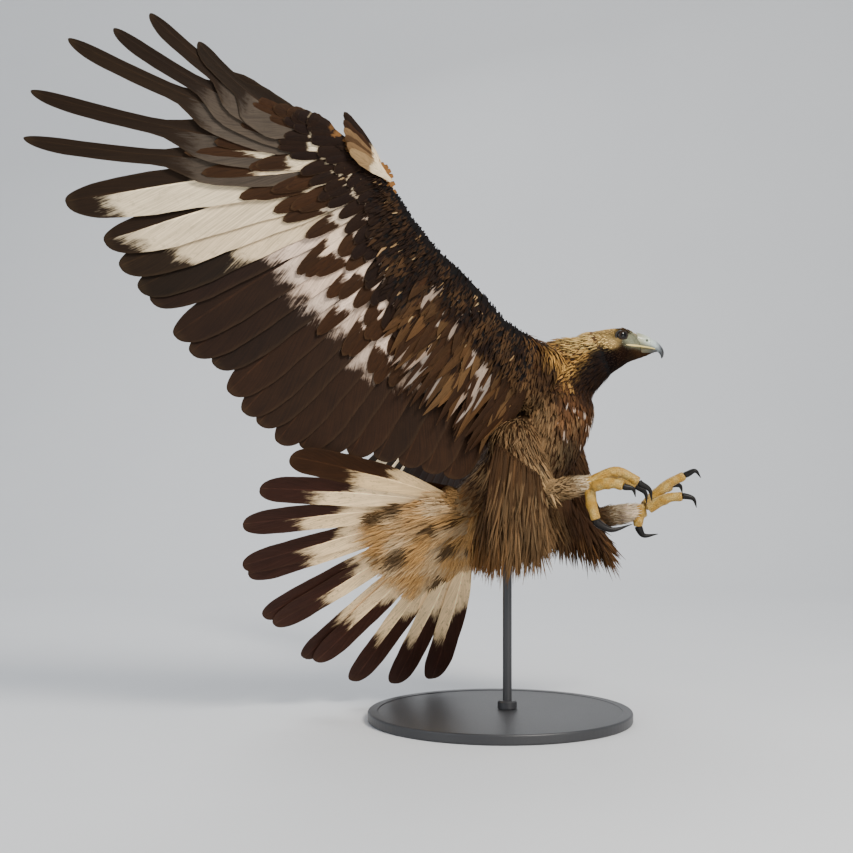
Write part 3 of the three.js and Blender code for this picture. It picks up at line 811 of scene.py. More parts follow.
# Flight feathers: as many, as long and as turned as in the solids.
flight = {
    "primaryLengths": [382, 385, 384, 411, 447, 430, 387, 326, 283, 198],
    "primaryAngles": [-52.9, -48.9, -44.6, -36.9, -26.2, -18.4, -7.2, -1.3, 6.9, 9],
    "secondaryLengths": [375, 365, 352, 327, 325, 318, 303, 291, 261, 243, 230, 219, 212, 207, 202],
    "secondaryAngles": [
        -53.9, -59.5, -61.2, -63.1, -67.3, -70.2, -71.8, -75.7, -79, -81, -83.5, -86.5, -89.5, -92, -94,
    ],
    "forearm": 9, "firstFinger": 4, "step": 1.7, "tilt": 5.2, "lead": 21.5, "trail": 37,
    "fingerBow": 13, "palmBow": -5, "darkEnd": [0.0125, 0.006, 0.0022],
    "fingerPale": 0.4, "palmPale": [0.5, 0.66, 0.77, 0.74], "armPale": (0.4, 0.24),
}


def flightRoots():
    elbow, wrist, handEnd = (np.array(wingPlan[key], float) for key in ("elbow", "wrist", "handEnd"))
    rows = []
    for i, length in enumerate(flight["primaryLengths"]):
        root = wrist + (handEnd - wrist) * (i + 0.4) / 10
        lift = flight["step"] * (3 - i) * (0.5 if i < 3 else 1)
        rows.append([*root, length, flight["primaryAngles"][i], lift])
    inner = len(flight["secondaryLengths"]) - flight["forearm"] + 1
    for i, length in enumerate(flight["secondaryLengths"]):
        if i < flight["forearm"]:
            root = wrist + (elbow - wrist) * (i + 0.5) / flight["forearm"]
        else:
            root = elbow + (np.array([0, -10]) - elbow) * (i - flight["forearm"] + 0.4) / inner
        rows.append([*root, length, flight["secondaryAngles"][i], flight["step"] * 1.5])
    return np.array(rows)


flightRows = flightRoots()


# The pale root of the fingers turns grey from the fourth outwards.
def flightFlock(chosen, rank, bow, paleTo):
    rows = flightRows[chosen]
    count = len(rows)
    near = blend(tone("cream") * 0.95, tone("slate") * 0.8, np.clip(rank - 3, 0, 1))
    return {
        "root": rows[:, :2], "length": rows[:, 2], "angle": rows[:, 3], "start": rows[:, 4],
        "end": rows[:, 4], "tilt": flight["tilt"], "bow": bow, "lead": flight["lead"],
        "trail": flight["trail"], "crown": 2.0,
        "thick": 0.8, "shaft": 0.8, "fray": 0.012, "lean": 0.3, "spots": 0.2, "seed": dice.random(count),
        "near": varied(near, 0.12), "far": varied(np.repeat([flight["darkEnd"]], count, 0), 0.2),
        "edge": paleTo + shaken(0.03, count),
    }


def wingFlights(place, pale):
    primaryCount = len(flight["primaryLengths"])
    outer = np.arange(flight["firstFinger"], primaryCount)
    inner = np.arange(flight["firstFinger"])
    rest = np.arange(primaryCount, len(flightRows))
    fingers = flightFlock(outer, outer, flight["fingerBow"], flight["fingerPale"])
    palms = flightFlock(inner, inner, flight["palmBow"], np.array(flight["palmPale"]))
    arms = flightFlock(rest, 0 * rest, flight["palmBow"], 0)
    arms["near"] = varied(blend(tone("rose"), tone("earth"), np.linspace(0, 0.7, len(rest))), 0.1)
    arms["far"] = varied(blend(tone("sootBrown"), tone("umber"), np.linspace(0.1, 0.7, len(rest))), 0.2)
    # A pale share under 1 moves the dark end towards the root: painted shade on the far wing.
    arms["edge"] = pale * np.linspace(*flight["armPale"], len(rest)) + shaken(0.03, len(rest))
    kinds = (("finger", fingers), ("round", palms), ("round", arms))
    return [planFeathers(place, "flight", outline, flock) for outline, flock in kinds]


# The lie of the small wing feathers: the flight feathers' own, spread along the arm.
def planAngle(a):
    order = np.argsort(flightRows[:, 0])
    return np.interp(a, flightRows[order, 0], flightRows[order, 3])


def coreAt(a):
    core = np.array(wingPlan["core"])
    return [np.interp(a, core[:, 0], core[:, k]) for k in (1, 2, 3)]


# One row of big coverts that covers the flight feathers' roots.
def covertRow(place, side, row):
    order = np.argsort(flightRows[:, 0])
    count = int(len(flightRows) * row["density"])
    spread = np.linspace(0, len(flightRows) - 1, count)
    index = np.arange(len(flightRows))
    a, b, length, angle, level = (np.interp(spread, index, flightRows[order, k]) for k in range(5))
    hand, outer = ramp(a, *wingPlan["hand"]), ramp(a, *wingPlan["fingers"])
    loose = 1 + 3 * (side < 0)
    reach = row["reach"] + (row["reachHand"] - row["reach"]) * hand - 0.25 * outer * row["reach"]
    near = blend(tone(row["near"]), tone(row["nearHand"]), hand)
    far = blend(tone(row["far"]), tone(row["farHand"]), hand)
    return planFeathers(place, "covert", "covert", {
        "root": np.stack([a, b + row["ahead"]], -1),
        "length": length * reach * (1 + shaken(0.035 * loose, count)),
        "angle": angle - 14 * outer + shaken(2 * loose, count),
        "start": level * 0.4 + side * row["start"],
        "end": level * 0.5 + side * row["end"],
        "side": side, "tilt": flight["tilt"] + shaken(2, count), "width": row["width"],
        "crown": 1.8, "shaft": 0.3, "bow": -3, "fray": 0.03, "lean": shaken(0.1, count), "spots": 0.25,
        "seed": dice.random(count), "edge": row["edge"] + shaken(0.04, count),
        "near": varied(near, 0.12) * (1 - 0.75 * outer[:, None]), "far": varied(far, 0.16),
    })


# Rows of small coverts over the arm, from the leading edge to the big coverts.
def lesserCoverts(place, side, part):
    groups = []
    for k in range(part["rows"]):
        share = (k + 0.5) / part["rows"]
        chordAt = 0.97 - 1.8 * share
        length = part["small"] + (part["large"] - part["small"]) * share**1.2
        spacing = part["spacing"] * length
        a = np.arange(part["from"], part["to"], spacing) + (k % 2) * spacing / 2
        count = len(a)
        a = a + shaken(spacing * 0.4, count)
        middle, chord, thick = coreAt(a)
        b = middle + chord * (chordAt + shaken(0.04, count))
        hand = ramp(a, *wingPlan["smallHand"])
        size = length * (1 - 0.35 * hand) * (1 + shaken(0.2, count))
        tipB = np.clip((b - middle - size * 0.8) / np.maximum(chord, 1), -1, 1)
        tipHeight = np.maximum(thick * np.sqrt(1 - tipB**2), part["flat"] * (1 - 0.5 * hand))
        flock = {
            "root": np.stack([a, b], -1), "length": size,
            "angle": planAngle(a) * (1 - 0.15 * (1 - share)) + shaken(10, count),
            "start": side * (thick * np.sqrt(np.maximum(0, 1 - chordAt**2)) - 2),
            "end": side * (tipHeight + part["stand"] * (0.6 + 0.8 * dice.random(count))),
            "side": side, "tilt": flight["tilt"] * 0.8 + shaken(8, count), "width": size * part["slim"] * 2,
            "crown": 0.9, "thick": 0.4, "bow": shaken(2, count), "seed": dice.random(count),
            "edge": part["edge"] + shaken(0.16, count), "spots": 0.2,
        }
        patch = clouds(np.stack([a, b, 0 * a], -1), 16) + shaken(0.8, count)
        warm = np.clip(0.12 + 0.4 * patch + part["warmRoot"] * ramp(a, 130, -90), 0, 1)
        far = blend(tone(part["far"]), tone(part["fleck"]), warm * (1 - 0.7 * hand))
        pale = (dice.random(count) < part["pale"])[:, None]
        flock["near"] = varied(np.repeat(tones(part["near"]), count, 0), 0.25)
        flock["far"] = varied(np.where(pale, tone("buff"), far), 0.25)
        groups.append(planFeathers(place, "lock", "lance", flock))
    return groups


# Long soft feathers of the armpit and the shoulder blade, some below white along one side.
armpit = {"count": 40, "from": -6, "to": 205, "length": 112, "width": 21, "white": 0.13, "rows": 3}


def armpitFeathers(place, side):
    groups = []
    count = armpit["count"]
    for row in range(armpit["rows"]):
        a = np.linspace(armpit["from"], armpit["to"], count) + shaken(3, count)
        middle, chord, thick = coreAt(a)
        length = armpit["length"] * (1.12 - 0.25 * row) * (1 + shaken(0.15, count))
        white = (dice.random(count) < armpit["white"]) & (a > 30) & (side < 0)
        patch = np.clip(0.2 + 0.4 * clouds(np.stack([a, a, a], -1), 20), 0, 1)
        brown = blend(tone("umber"), tone("hazel") * [0.85, 0.75, 0.62], patch)
        groups.append(planFeathers(place, "covert", "lance", {
            "root": np.stack([a, middle - chord * (0.3 - 0.25 * row)], -1),
            "length": length * (1 - 0.2 * ramp(a, 120, 80)),
            "angle": -84 + 8 * ramp(a, 60, 120) + shaken(9, count),
            "start": side * (thick * 0.85 + 2 * row),
            "end": side * (12 + 2.5 * row + 4 * dice.random(count)), "side": side,
            "tilt": shaken(9, count), "width": armpit["width"], "crown": 2,
            "bow": shaken(5, count), "seed": dice.random(count),
            "edge": np.where(white, 0.7, 0.5) + shaken(0.12, count),
            "lean": np.where(white, 0.3, 0.1) * np.where(dice.random(count) < 0.6, 1, -1), "spots": 0.3,
            "near": varied(np.where(white[:, None], tone("rose") * 0.5, tone("umber")), 0.3),
            "far": varied(np.where(white[:, None], tone("umber"), brown), 0.2),
        }))
    return groups


# Big coverts in rows, a line each; then the small ones.
rowKeys = (
    "reach", "reachHand", "width", "ahead", "start", "end", "density", "edge",
    "near", "nearHand", "far", "farHand",
)
underRows = [
    (0.47, 0.52, 25, 4, 3, 7.5, 1, 0.68, "rose", "cream", "umber", "umber"),
    (0.35, 0.37, 23, 8, 5, 10, 1.15, 0.64, "rose", "cream", "umber", "umber"),
    (0.25, 0.25, 20, 12, 7, 12.5, 1.4, 0.56, "rose", "cream", "sootBrown", "sootBrown"),
    (0.17, 0.15, 19, 16, 8, 14, 1.9, 0.35, "tawny", "tawny", "sootBrown", "sootBrown"),
]
upperRows = [
    (0.47, 0.44, 34, 4, 3, 7.5, 1, 0.3, "buff", "umber", "umber", "sootBrown"),
    (0.27, 0.27, 28, 8, 5, 10, 1.2, 0.45, "umber", "umber", "tawny", "earth"),
    (0.18, 0.18, 22, 12, 7, 12, 1.5, 0.4, "umber", "umber", "tawny", "earth"),
]
underSmall = {
    "rows": 22, "small": 22, "large": 46, "spacing": 0.16, "slim": 0.1, "from": 12, "to": 462, "flat": 9,
    "stand": 6, "edge": 0.6, "near": "black", "far": "sootBrown", "fleck": "earth", "pale": 0.025,
    "warmRoot": 0.4,
}
upperSmall = {
    "rows": 17, "small": 14, "large": 38, "spacing": 0.32, "slim": 0.21, "from": 4, "to": 462, "flat": 8,
    "stand": 5, "edge": 0.6, "near": "umber", "far": "earth", "fleck": "tawny", "pale": 0.08,
    "warmRoot": 0.3,
}
alula = {
    "root": [330, 124], "angle": 25, "turn": 4, "length": 118, "shorter": 8, "width": 19,
    "tips": ["sootBrown", "umber", "hazel", "earth", "hazel", "buff"],
}


def alulaFeathers(place):
    count = len(alula["tips"])
    index = np.arange(count)
    return planFeathers(place, "covert", "covert", {
        "root": np.repeat([alula["root"]], count, 0), "length": alula["length"] - alula["shorter"] * index,
        "angle": alula["angle"] - alula["turn"] * index, "start": -3 - 2.2 * index, "end": -11 - 2.2 * index,
        "side": -1, "tilt": 10, "lead": alula["width"] * 0.45, "trail": alula["width"] * 0.5, "crown": 1.5,
        "thick": 0.6, "shaft": 0.4, "seed": dice.random(count), "edge": 0.5, "spots": 0.3,
        "near": varied(np.repeat(tones("cream"), count, 0), 0.1), "far": varied(tones(*alula["tips"]), 0.2),
    })


def covertRows(place, side, rows):
    return [covertRow(place, side, dict(zip(rowKeys, row))) for row in rows]


for wingSide, wing in wings.items():
    place = wingPlace(wing)
    nodes = (f"wing_{wingSide}_arm", f"wing_{wingSide}_hand")
    flights = wingFlights(place, wing["pale"])
    featherPiece(f"flights_{wingSide}", flights, flightFinish, "dark_feathers", *nodes)
    under = covertRows(place, -1, underRows) + lesserCoverts(place, -1, underSmall)
    under += [alulaFeathers(place)] + armpitFeathers(place, -1)
    featherPiece(f"under_coverts_{wingSide}", under, coatFinish, "dark_feathers")
    over = covertRows(place, 1, upperRows) + lesserCoverts(place, 1, upperSmall) + armpitFeathers(place, 1)
    featherPiece(f"upper_coverts_{wingSide}", over, coatFinish, "body_feathers")


# The fan of twelve, pale at the root and dark at the end; the first one is darker than the rest.
def tailFan():
    angle = np.array(tail["angles"], float)
    index = np.arange(len(angle))
    first = (index == 0)[:, None]
    level = 4 - 1.9 * (np.abs(index - 5.5) - 0.5) - 0.95 * (index > 5)
    pale = np.where(first, tone("cream") * [1.1, 0.95, 0.75], tone("cream") * [1.28, 1.17, 1.02])
    return planFeathers(tailPlace, "flight", "rectrix", {
        "root": np.stack([np.full(12, 6.0), 12 * np.sin(np.radians(angle))], -1), "length": tail["lengths"],
        "angle": angle, "start": level, "end": level, "bow": -0.12 * angle, "width": tail["width"],
        "crown": 2.0, "thick": 0.8, "shaft": 0.9, "fray": 0.015, "seed": dice.random(12),
        "edge": 0.67 - 0.09 * (index == 0) + shaken(0.02, 12), "lean": 0.17 * np.sign(angle), "spots": 0.4,
        "near": varied(pale, 0.05),
        "far": varied(np.where(first, tone("umber") * 1.2, np.array([0.034, 0.013, 0.008])), 0.12),
    })


# The first row lies below the fan and takes its tones from the blotches.
tailKeys = ("side", "reach", "count", "fan", "width", "level", "near", "far")
tailRows = [
    (-1, 178, 17, 54, 24, 8, None, None),
    (1, 122, 12, 48, 30, 8, "cream", "earth"),
    (1, 92, 14, 52, 27, 11, "buff", "umber"),
    (1, 64, 16, 60, 24, 14, "umber", "earth"),
]

# Brown blotches on the soft feathers under the tail: place in its plan, and reach.
blotches = [
    [146, 107, 13], [113, 104, 12], [82, 100, 9], [87, 27, 12], [153, 3, 13], [193, 25, 12], [79, -33, 12],
    [119, -99, 11], [131, -126, 9], [53, 15, 8], [16, 32, 11], [0, -20, 12], [40, -60, 10],
]


def ray(angle):
    return np.stack([np.cos(np.radians(angle)), np.sin(np.radians(angle))], -1)


def underTailTones(plan):
    dark = np.zeros(len(plan))
    for a, b, reach in blotches:
        away = np.hypot(plan[:, 0] - a, plan[:, 1] - b) / (reach * 1.5)
        dark = np.maximum(dark, np.exp(-(away**4)))
    patch = clouds(np.column_stack([plan, 0 * plan[:, :1]]), 22)
    soft = blend(tone("fluff"), tone("cream"), np.clip(0.22 + 0.28 * patch, 0, 0.6))
    warm = blend(soft, tone("hazel"), np.clip(0.75 * ramp(plan[:, 0], 70, -80) + 0.1, 0, 1))
    return blend(warm, tone("earth") * 0.8, np.clip(dark * 1.1, 0, 0.9))


def tailCoverts(values):
    row = dict(zip(tailKeys, values))
    count, side = row["count"], row["side"]
    angle = np.linspace(-row["fan"], row["fan"], count) + shaken(3, count)
    root = np.stack([np.full(count, 8.0), 20 * np.sin(np.radians(angle))], -1)
    length = row["reach"] * (1 + shaken(0.12, count))
    if side < 0:
        near = far = underTailTones(root + ray(angle) * length[:, None] * 0.85)
        length = length * (1 - 0.5 * ramp(np.abs(angle), 30, 20))
    else:
        near, far = (np.repeat(tones(row[key]), count, 0) for key in ("near", "far"))
    return planFeathers(tailPlace, "covert", "lance", {
        "root": root, "length": length, "angle": angle, "start": side * (row["level"] - 2),
        "end": side * (row["level"] + 2 + 1.5 * dice.random(count)), "side": side, "tilt": shaken(6, count),
        "width": row["width"], "crown": 2, "shaft": 0.2, "bow": shaken(3, count), "seed": dice.random(count),
        "edge": 0.55 + shaken(0.12, count), "spots": 0.3,
        "near": varied(near, 0.12), "far": varied(far, 0.12),
    })


# Downy tufts in many short tiers cover the fan's root from below.
underTail = {"rows": 24, "reach": 164, "step": 2.7, "fan": 66, "length": 46, "width": 4.6}


def underTailDown():
    groups = []
    for k in range(underTail["rows"]):
        share = 1 - k / (underTail["rows"] - 1)
        ring = underTail["reach"] * share
        many = max(int((ring + 22) * math.radians(2 * underTail["fan"]) / underTail["step"]), 9)
        angle = np.linspace(-underTail["fan"], underTail["fan"], many) + shaken(4, many)
        short = (1 - 0.42 * ramp(angle, -22, -30)) * (1 - 0.72 * ramp(angle, 33, 16))
        root = ray(angle) * (ring * short - 12)[:, None] + [4, 0] + shaken(4, (many, 2))
        root = root + np.stack([0 * angle, 24 * np.sin(np.radians(angle))], -1)
        length = underTail["length"] * (1 - 0.3 * share) * (1 + shaken(0.25, many)) * short**0.5
        high = 9 + 17 * (1 - share) ** 0.8
        down = underTailTones(root + ray(angle) * length[:, None] * 0.8)
        groups.append(planFeathers(tailPlace, "tuft", "lance", {
            "root": root, "length": length, "angle": angle + shaken(8, many), "start": -high,
            "end": -high + 2 * (1 - share) - 5 * dice.random(many), "side": -1, "tilt": shaken(14, many),
            "width": underTail["width"], "crown": 0.8, "thick": 0.4, "bow": shaken(5, many), "fray": 0.12,
            "seed": dice.random(many), "edge": 0.5, "near": varied(down, 0.07), "far": varied(down, 0.07),
        }))
    return groups


featherPiece("tail_fan", [tailFan()], flightFinish, "pale_feathers", "tail")
featherPiece("tail_coverts", [tailCoverts(row) for row in tailRows], coatFinish, "golden_feathers")
featherPiece("under_tail_down", underTailDown(), crestFinish, "golden_feathers")
print("wings and tail are dressed")


# Where the body's colours lie, with one patch of painted shade: by root and tip tone, each mark's place and
# reach.
markings = {
    ("umber", "hazel"): [(35, -70, 487, 42), (-8, -78, 402, 26)],
    ("earth", "hazel"): [
        (62, -74, 462, 34), (20, -110, 440, 36), (12, -114, 350, 22), (10, -112, 405, 30),
        (44, -112, 318, 40),
    ],
    ("sootBrown", "earth"): [(10, -60, 520, 34)],
    ("umber", "rust"): [(108, -62, 505, 22), (102, -66, 470, 18), (132, -40, 470, 24)],
    ("rust", "buff"): [(118, -56, 478, 11)],
    ("umber", "olive"): [(112, -58, 440, 28)],
    # The first mark here, dark on the breast front, is painted shade of the lower breast.
    ("umber", "umber"): [(148, -20, 434, 34), (110, 60, 360, 60)],
    ("umber", "earth"): [
        (140, 30, 460, 50), (-24, -104, 330, 24), (-12, -100, 432, 18), (-10, -90, 372, 30),
        (20, 70, 450, 90), (173, -28, 594, 4), (173, 28, 594, 4), (186, 28, 568, 10), (203, -18, 568, 7),
        (206, 0, 560, 9), (226, 0, 566, 9), (160, 58, 270, 26),
    ],
    ("olive", "buff"): [(42, -116, 400, 22), (66, -114, 372, 16)],
    ("tawny", "buff"): [(-30, -50, 345, 22)],
    ("tawny", "fluff"): [(-52, -30, 320, 20)],
    ("earth", "tawny"): [(-6, -80, 320, 24), (202, 20, 568, 8)],
    ("umber", "tawny"): [(190, 60, 250, 26), (60, 20, 545, 34), (20, -40, 545, 30)],
    ("sootBrown", "umber"): [
        (62, -62, 540, 26), (142, -28, 512, 22), (150, 0, 505, 22), (134, 42, 552, 18),
        (150, 38, 560, 16), (186, -28, 568, 11),
    ],
    ("earth", "gold"): [(74, -48, 566, 18), (96, -36, 574, 16), (96, 30, 572, 24)],
    ("black", "sootBrown"): [
        (128, -38, 524, 18), (136, -42, 546, 17), (152, -38, 558, 15), (168, -34, 560, 14),
        (160, 0, 530, 20),
    ],
    ("umber", "gold"): [(112, -48, 548, 16), (132, -42, 566, 12)],
    ("earth", "straw"): [
        (114, -32, 582, 14), (132, -28, 590, 14), (132, 24, 590, 20), (150, -24, 596, 13),
        (150, 20, 598, 18),
    ],
    ("tawny", "straw"): [(114, 30, 580, 20), (170, 0, 606, 18), (190, 0, 608, 14)],
    ("olive", "straw"): [(170, -26, 596, 10)],
    ("buff", "cream"): [(206, 0, 601, 10), (112, -119, 371, 16), (130, -122, 372, 13), (178, 57, 316, 12)],
    ("buff", "straw"): [(172, -32, 584, 8), (172, 32, 584, 8)],
    ("black", "umber"): [
        (184, -28, 604, 5), (196, -24, 603, 5), (184, 28, 604, 5), (196, 24, 603, 5), (168, 34, 562, 12),
        (180, 0, 546, 16),
    ],
    ("lore", "lore"): [(197, -25, 588, 8), (208, -17, 588, 8), (197, 25, 588, 8), (208, 17, 588, 8)],
    ("earth", "buff"): [(84, -112, 362, 16), (96, -112, 360, 14), (154, 60, 312, 10)],
    ("rose", "cream"): [(206, 52, 320, 15)],
}


def bodyTones(points):
    near, far, total = 1e-4 * tone("umber"), 1e-4 * tone("earth"), 1e-4
    for (root, tip), marks in markings.items():
        for *place, reach in marks:
            away = np.linalg.norm(points - np.array(place), axis=1) / reach
            weight = np.exp(-(away**2) * 1.4)[:, None]
            near = near + weight * tone(root)
            far = far + weight * tone(tip)
            total = total + weight
    patch = 1 + 0.16 * clouds(points, 9)[:, None] + 0.14 * clouds(points, 26)[:, None]
    return near / total * patch, far / total * patch


# Staggered roots over a form, set on the skin and turned to lie with the coat.
def coat(form, part):
    total = np.linalg.norm(np.diff(form["centre"], axis=0), axis=1).sum()
    low, high = part["span"]
    places, spots, grain = [], [], []
    for k, t in enumerate(np.linspace(low, high, int(total * (high - low) / part["rowStep"]) + 1)):
        girth = 2 * np.pi * np.interp(t, np.linspace(0, 1, len(form["size"])), form["size"].mean(axis=1))
        many = max(int(girth / part["sideStep"]), 5)
        turn = (np.arange(many) + 0.5 * (k % 2) + shaken(0.3, many)) * 2 * np.pi / many
        where = np.clip(t + shaken(part["rowStep"] / total * 0.35, many), 0, 1)
        point, along = formPoints(form, where, turn)
        places.append(point)
        grain.append(along * part["lie"])
        spots.append(np.stack([turn / (2 * np.pi) % 1, where], -1))
    return settle(*(np.concatenate(rows) for rows in (places, grain, spots)), part)


def onSkin(point):
    where, normal, _, gap = skinTree.find_nearest(Vector(point) * mm)
    return np.array(where) * 1000, np.array(normal), gap * 1000


frontStreaks = {"behind": 84, "middle": 478, "reach": 38, "share": 0.05}


def settle(points, grain, spots, part):
    found = [onSkin(point) for point in points]
    keep = [k for k, (root, out, gap) in enumerate(found) if gap < part["hidden"]]
    roots, out = np.array([found[k][0] for k in keep]), unit([found[k][1] for k in keep])
    chosen = part["only"](roots) if "only" in part else np.full(len(roots), True)
    roots, out, grain, spots = roots[chosen], out[chosen], grain[keep][chosen], spots[keep][chosen]
    count = len(roots)
    if "comb" in part:
        grain = part["comb"](roots, grain)
    along = unit(grain - out * np.einsum("ij,ij->i", grain, out)[:, None])
    swing = np.radians(part["swing"]) * dice.uniform(-1, 1, count)[:, None]
    along = unit(along * np.cos(swing) + np.cross(along, out) * np.sin(swing))
    scale = part["scale"](roots) if "scale" in part else np.ones(count)
    size = part["length"] * scale * (1 + shaken(0.2, count))
    drop = np.zeros(count)
    for k in range(count):
        tip = roots[k] + along[k] * size[k] * 0.9
        where, normal, gap = onSkin(tip)
        drop[k] = np.clip((tip - where) @ normal, -0.35 * size[k], 0.55 * size[k])
    near, far = bodyTones(roots)
    fleck = dice.random(count) < part["flecks"]
    far[fleck] = 0.6 * near[fleck] + 0.4 * far[fleck]
    front = (roots[:, 0] > frontStreaks["behind"]) & (part["length"] > 15)
    front &= np.abs(roots[:, 2] - frontStreaks["middle"]) < frontStreaks["reach"]
    streak = front & (dice.random(count) < frontStreaks["share"])
    far[streak] = tone("rose") * dice.uniform(0.35, 0.8, (streak.sum(), 1))
    return {
        "root": roots, "along": along, "across": np.cross(along, out), "out": out, "drop": drop,
        "stand": part["stand"] * np.sqrt(scale) * (1 + shaken(0.3, count)),
        "sway": shaken(size * 0.08, count), "length": size, "width": size * part["slim"] * 2,
        "crown": size * 0.03, "thick": 0.35,
        "seed": dice.random(count), "edge": part["edge"] + shaken(0.12, count), "spots": 0.2,
        "near": varied(near, part["vary"]), "far": varied(far, part["vary"]), "spot": spots * 0.98 + 0.01,
    }


# Where the coat turns away from the limb it grows on: a place, its reach and the way feathers lie.
combs = [
    [(18, -100, 430), 40, (0.35, -0.1, -0.95)],
    [(0, -100, 390), 36, (-0.1, -0.1, -1)],
    [(60, -80, 470), 40, (-0.2, -0.1, -0.95)],
    [(120, -50, 470), 45, (-0.15, 0, -1)],
    [(-20, -60, 350), 34, (-0.55, -0.2, -0.8)],
    [(92, 60, 400), 40, (0.2, 0, -1)],
]


def combed(roots, grain):
    grain = unit(grain)
    for place, reach, way in combs:
        weight = np.exp(-((np.linalg.norm(roots - np.array(place), axis=1) / reach) ** 2)) * 1.6
        grain = grain + weight[:, None] * unit(way)
    return grain


def clearOfEyes(points):
    mirrored = points * [1, 0, 1] + np.abs(points) * [0, 1, 0]
    away = np.linalg.norm(mirrored - eye["place"] - [0, 7, 0], axis=1)
    return away > eye["lid"] + eye["bareRim"]


def headScale(points):
    return np.clip(1.15 - (points[:, 0] - 155) / 80, 0.4, 1.1)


coatKeys = ("rowStep", "sideStep", "length", "slim", "stand", "hidden", "lie", "edge", "vary", "swing")
coatRows = {
    "torso": (4.6, 4, 30, 0.07, 6, 9, -1, 0.55, 0.2, 12),
    "neck": (3.9, 3.5, 19, 0.085, 4.4, 7, -1, 0.5, 0.28, 12),
    "head": (2.1, 2, 8.5, 0.12, 1.3, 4, -1, 0.5, 0.26, 14),
    "brow": (1.7, 1.6, 5.5, 0.13, 0.7, 3, -1, 0.5, 0.2, 10),
    "thigh": (4.2, 3.7, 32, 0.06, 5.5, 8, 1, 0.55, 0.22, 12),
    "shin": (3.1, 2.8, 15, 0.09, 4.5, 6, 1, 0.5, 0.16, 12),
    "flank": (5, 4.5, 34, 0.08, 6, 8, 1, 0.55, 0.22, 14),
    "shoulder": (5, 4.6, 30, 0.09, 6, 8, 1, 0.55, 0.22, 14),
}
coats = {name: dict(zip(coatKeys, row), span=(0, 1), flecks=0.12) for name, row in coatRows.items()}
coats["torso"]["comb"] = coats["thigh"]["comb"] = combed
coats["neck"]["flecks"] = 0.3
coats["head"].update(span=(0, 0.97), flecks=0.3, only=clearOfEyes, scale=headScale)
coats["shin"]["span"] = (0.06, 0.9)


# Each coat piece: its forms, with the coat that each one grows.
def coatPiece(name, outline, material, slot, *forms):
    groups = [bodyFeathers("tuft", outline, coat(form, coats[kind])) for form, kind in forms]
    featherPiece(name, groups, material, slot)


brows = [(smallForm("brow", side), "brow") for side in (-1, 1)]
flanks = [(smallForm("flank", side), "flank") for side in (-1, 1)]
coatPiece("coat_torso", "leaf", coatFinish, "body_feathers", (torsoForm, "torso"))
coatPiece("coat_neck", "lance", crestFinish, "golden_feathers", (neckForm, "neck"))
face = [(headForm, "head"), (smallForm("chin"), "head"), *brows]
coatPiece("coat_head", "leaf", crestFinish, "golden_feathers", *face)
coatPiece("coat_flanks", "lance", coatFinish, "golden_feathers", *flanks)
for sideName, leg in legs.items():
    limbs = ((thighForm(leg), "thigh"), (shinForm(leg), "shin"))
    coatPiece(f"coat_leg_{sideName}", "lance", coatFinish, "golden_feathers", *limbs)


# The wing's root as a form, so that the shoulder's coat can grow on it.
def shoulderForm(wing):
    out, fore = wingFrame(wing)
    a = np.linspace(-34, 40, 18)
    b, chord, thick = coreAt(a)
    form = {"along": out, "high": fore, "wide": np.cross(out, fore)}
    form = {key: np.repeat([way], len(a), 0) for key, way in form.items()}
    form["centre"] = wingPlace(wing)(np.stack([a, b], -1), 0 * a)
    form["size"] = np.stack([chord, thick], -1) + wingPlan["skinDepth"]
    return form


for wingSide, wing in wings.items():
    coats["shoulder"]["comb"] = lambda roots, grain: np.repeat([wing["shoulderLie"]], len(roots), 0)
    forms = [(shoulderForm(wing), "shoulder")]
    coatPiece(f"coat_shoulder_{wingSide}", "lance", coatFinish, "golden_feathers", *forms)

# Trouser locks hang in rows: root line, tip line, and how far the middle tips drop.
trousers = [
    [([10, -92, 415], [56, -108, 350]), ([-30, -98, 232], [54, -112, 238]), 6],
    [([-12, -118, 428], [54, -121, 380]), ([-34, -112, 250], [64, -118, 262]), 5],
    [([-16, -106, 412], [60, -113, 364]), ([-36, -104, 238], [62, -114, 246]), 5],
    [([4, -77, 408], [50, -94, 347]), ([-26, -81, 226], [62, -98, 236]), 6],
    [([0, -62, 400], [44, -80, 345]), ([-22, -64, 226], [70, -84, 236]), 6],
    [([-40, -34, 338], [8, -90, 385]), ([-46, -66, 238], [-14, -96, 226]), 8],
    [([-44, -8, 322], [4, -50, 345]), ([-44, -34, 240], [-10, -66, 226]), 8],
    [([40, -84, 350], [104, -30, 345]), ([64, -84, 256], [112, -30, 262]), 3],
    [([60, -40, 360], [110, 20, 345]), ([72, -40, 254], [116, 20, 258]), 3],
    [([92, 40, 385], [142, 44, 306]), ([90, 40, 246], [198, 46, 224]), 6],
    [([94, 57, 380], [146, 59, 309]), ([95, 59, 240], [201, 62, 222]), 6],
    [([96, 74, 385], [150, 74, 312]), ([100, 78, 240], [204, 78, 226]), 6],
]
lockSize = {
    "perRow": 52, "layers": 6, "width": 4.6, "clump": 9, "rootShake": [3, 4, 3], "tipShake": [5, 8, 4],
}


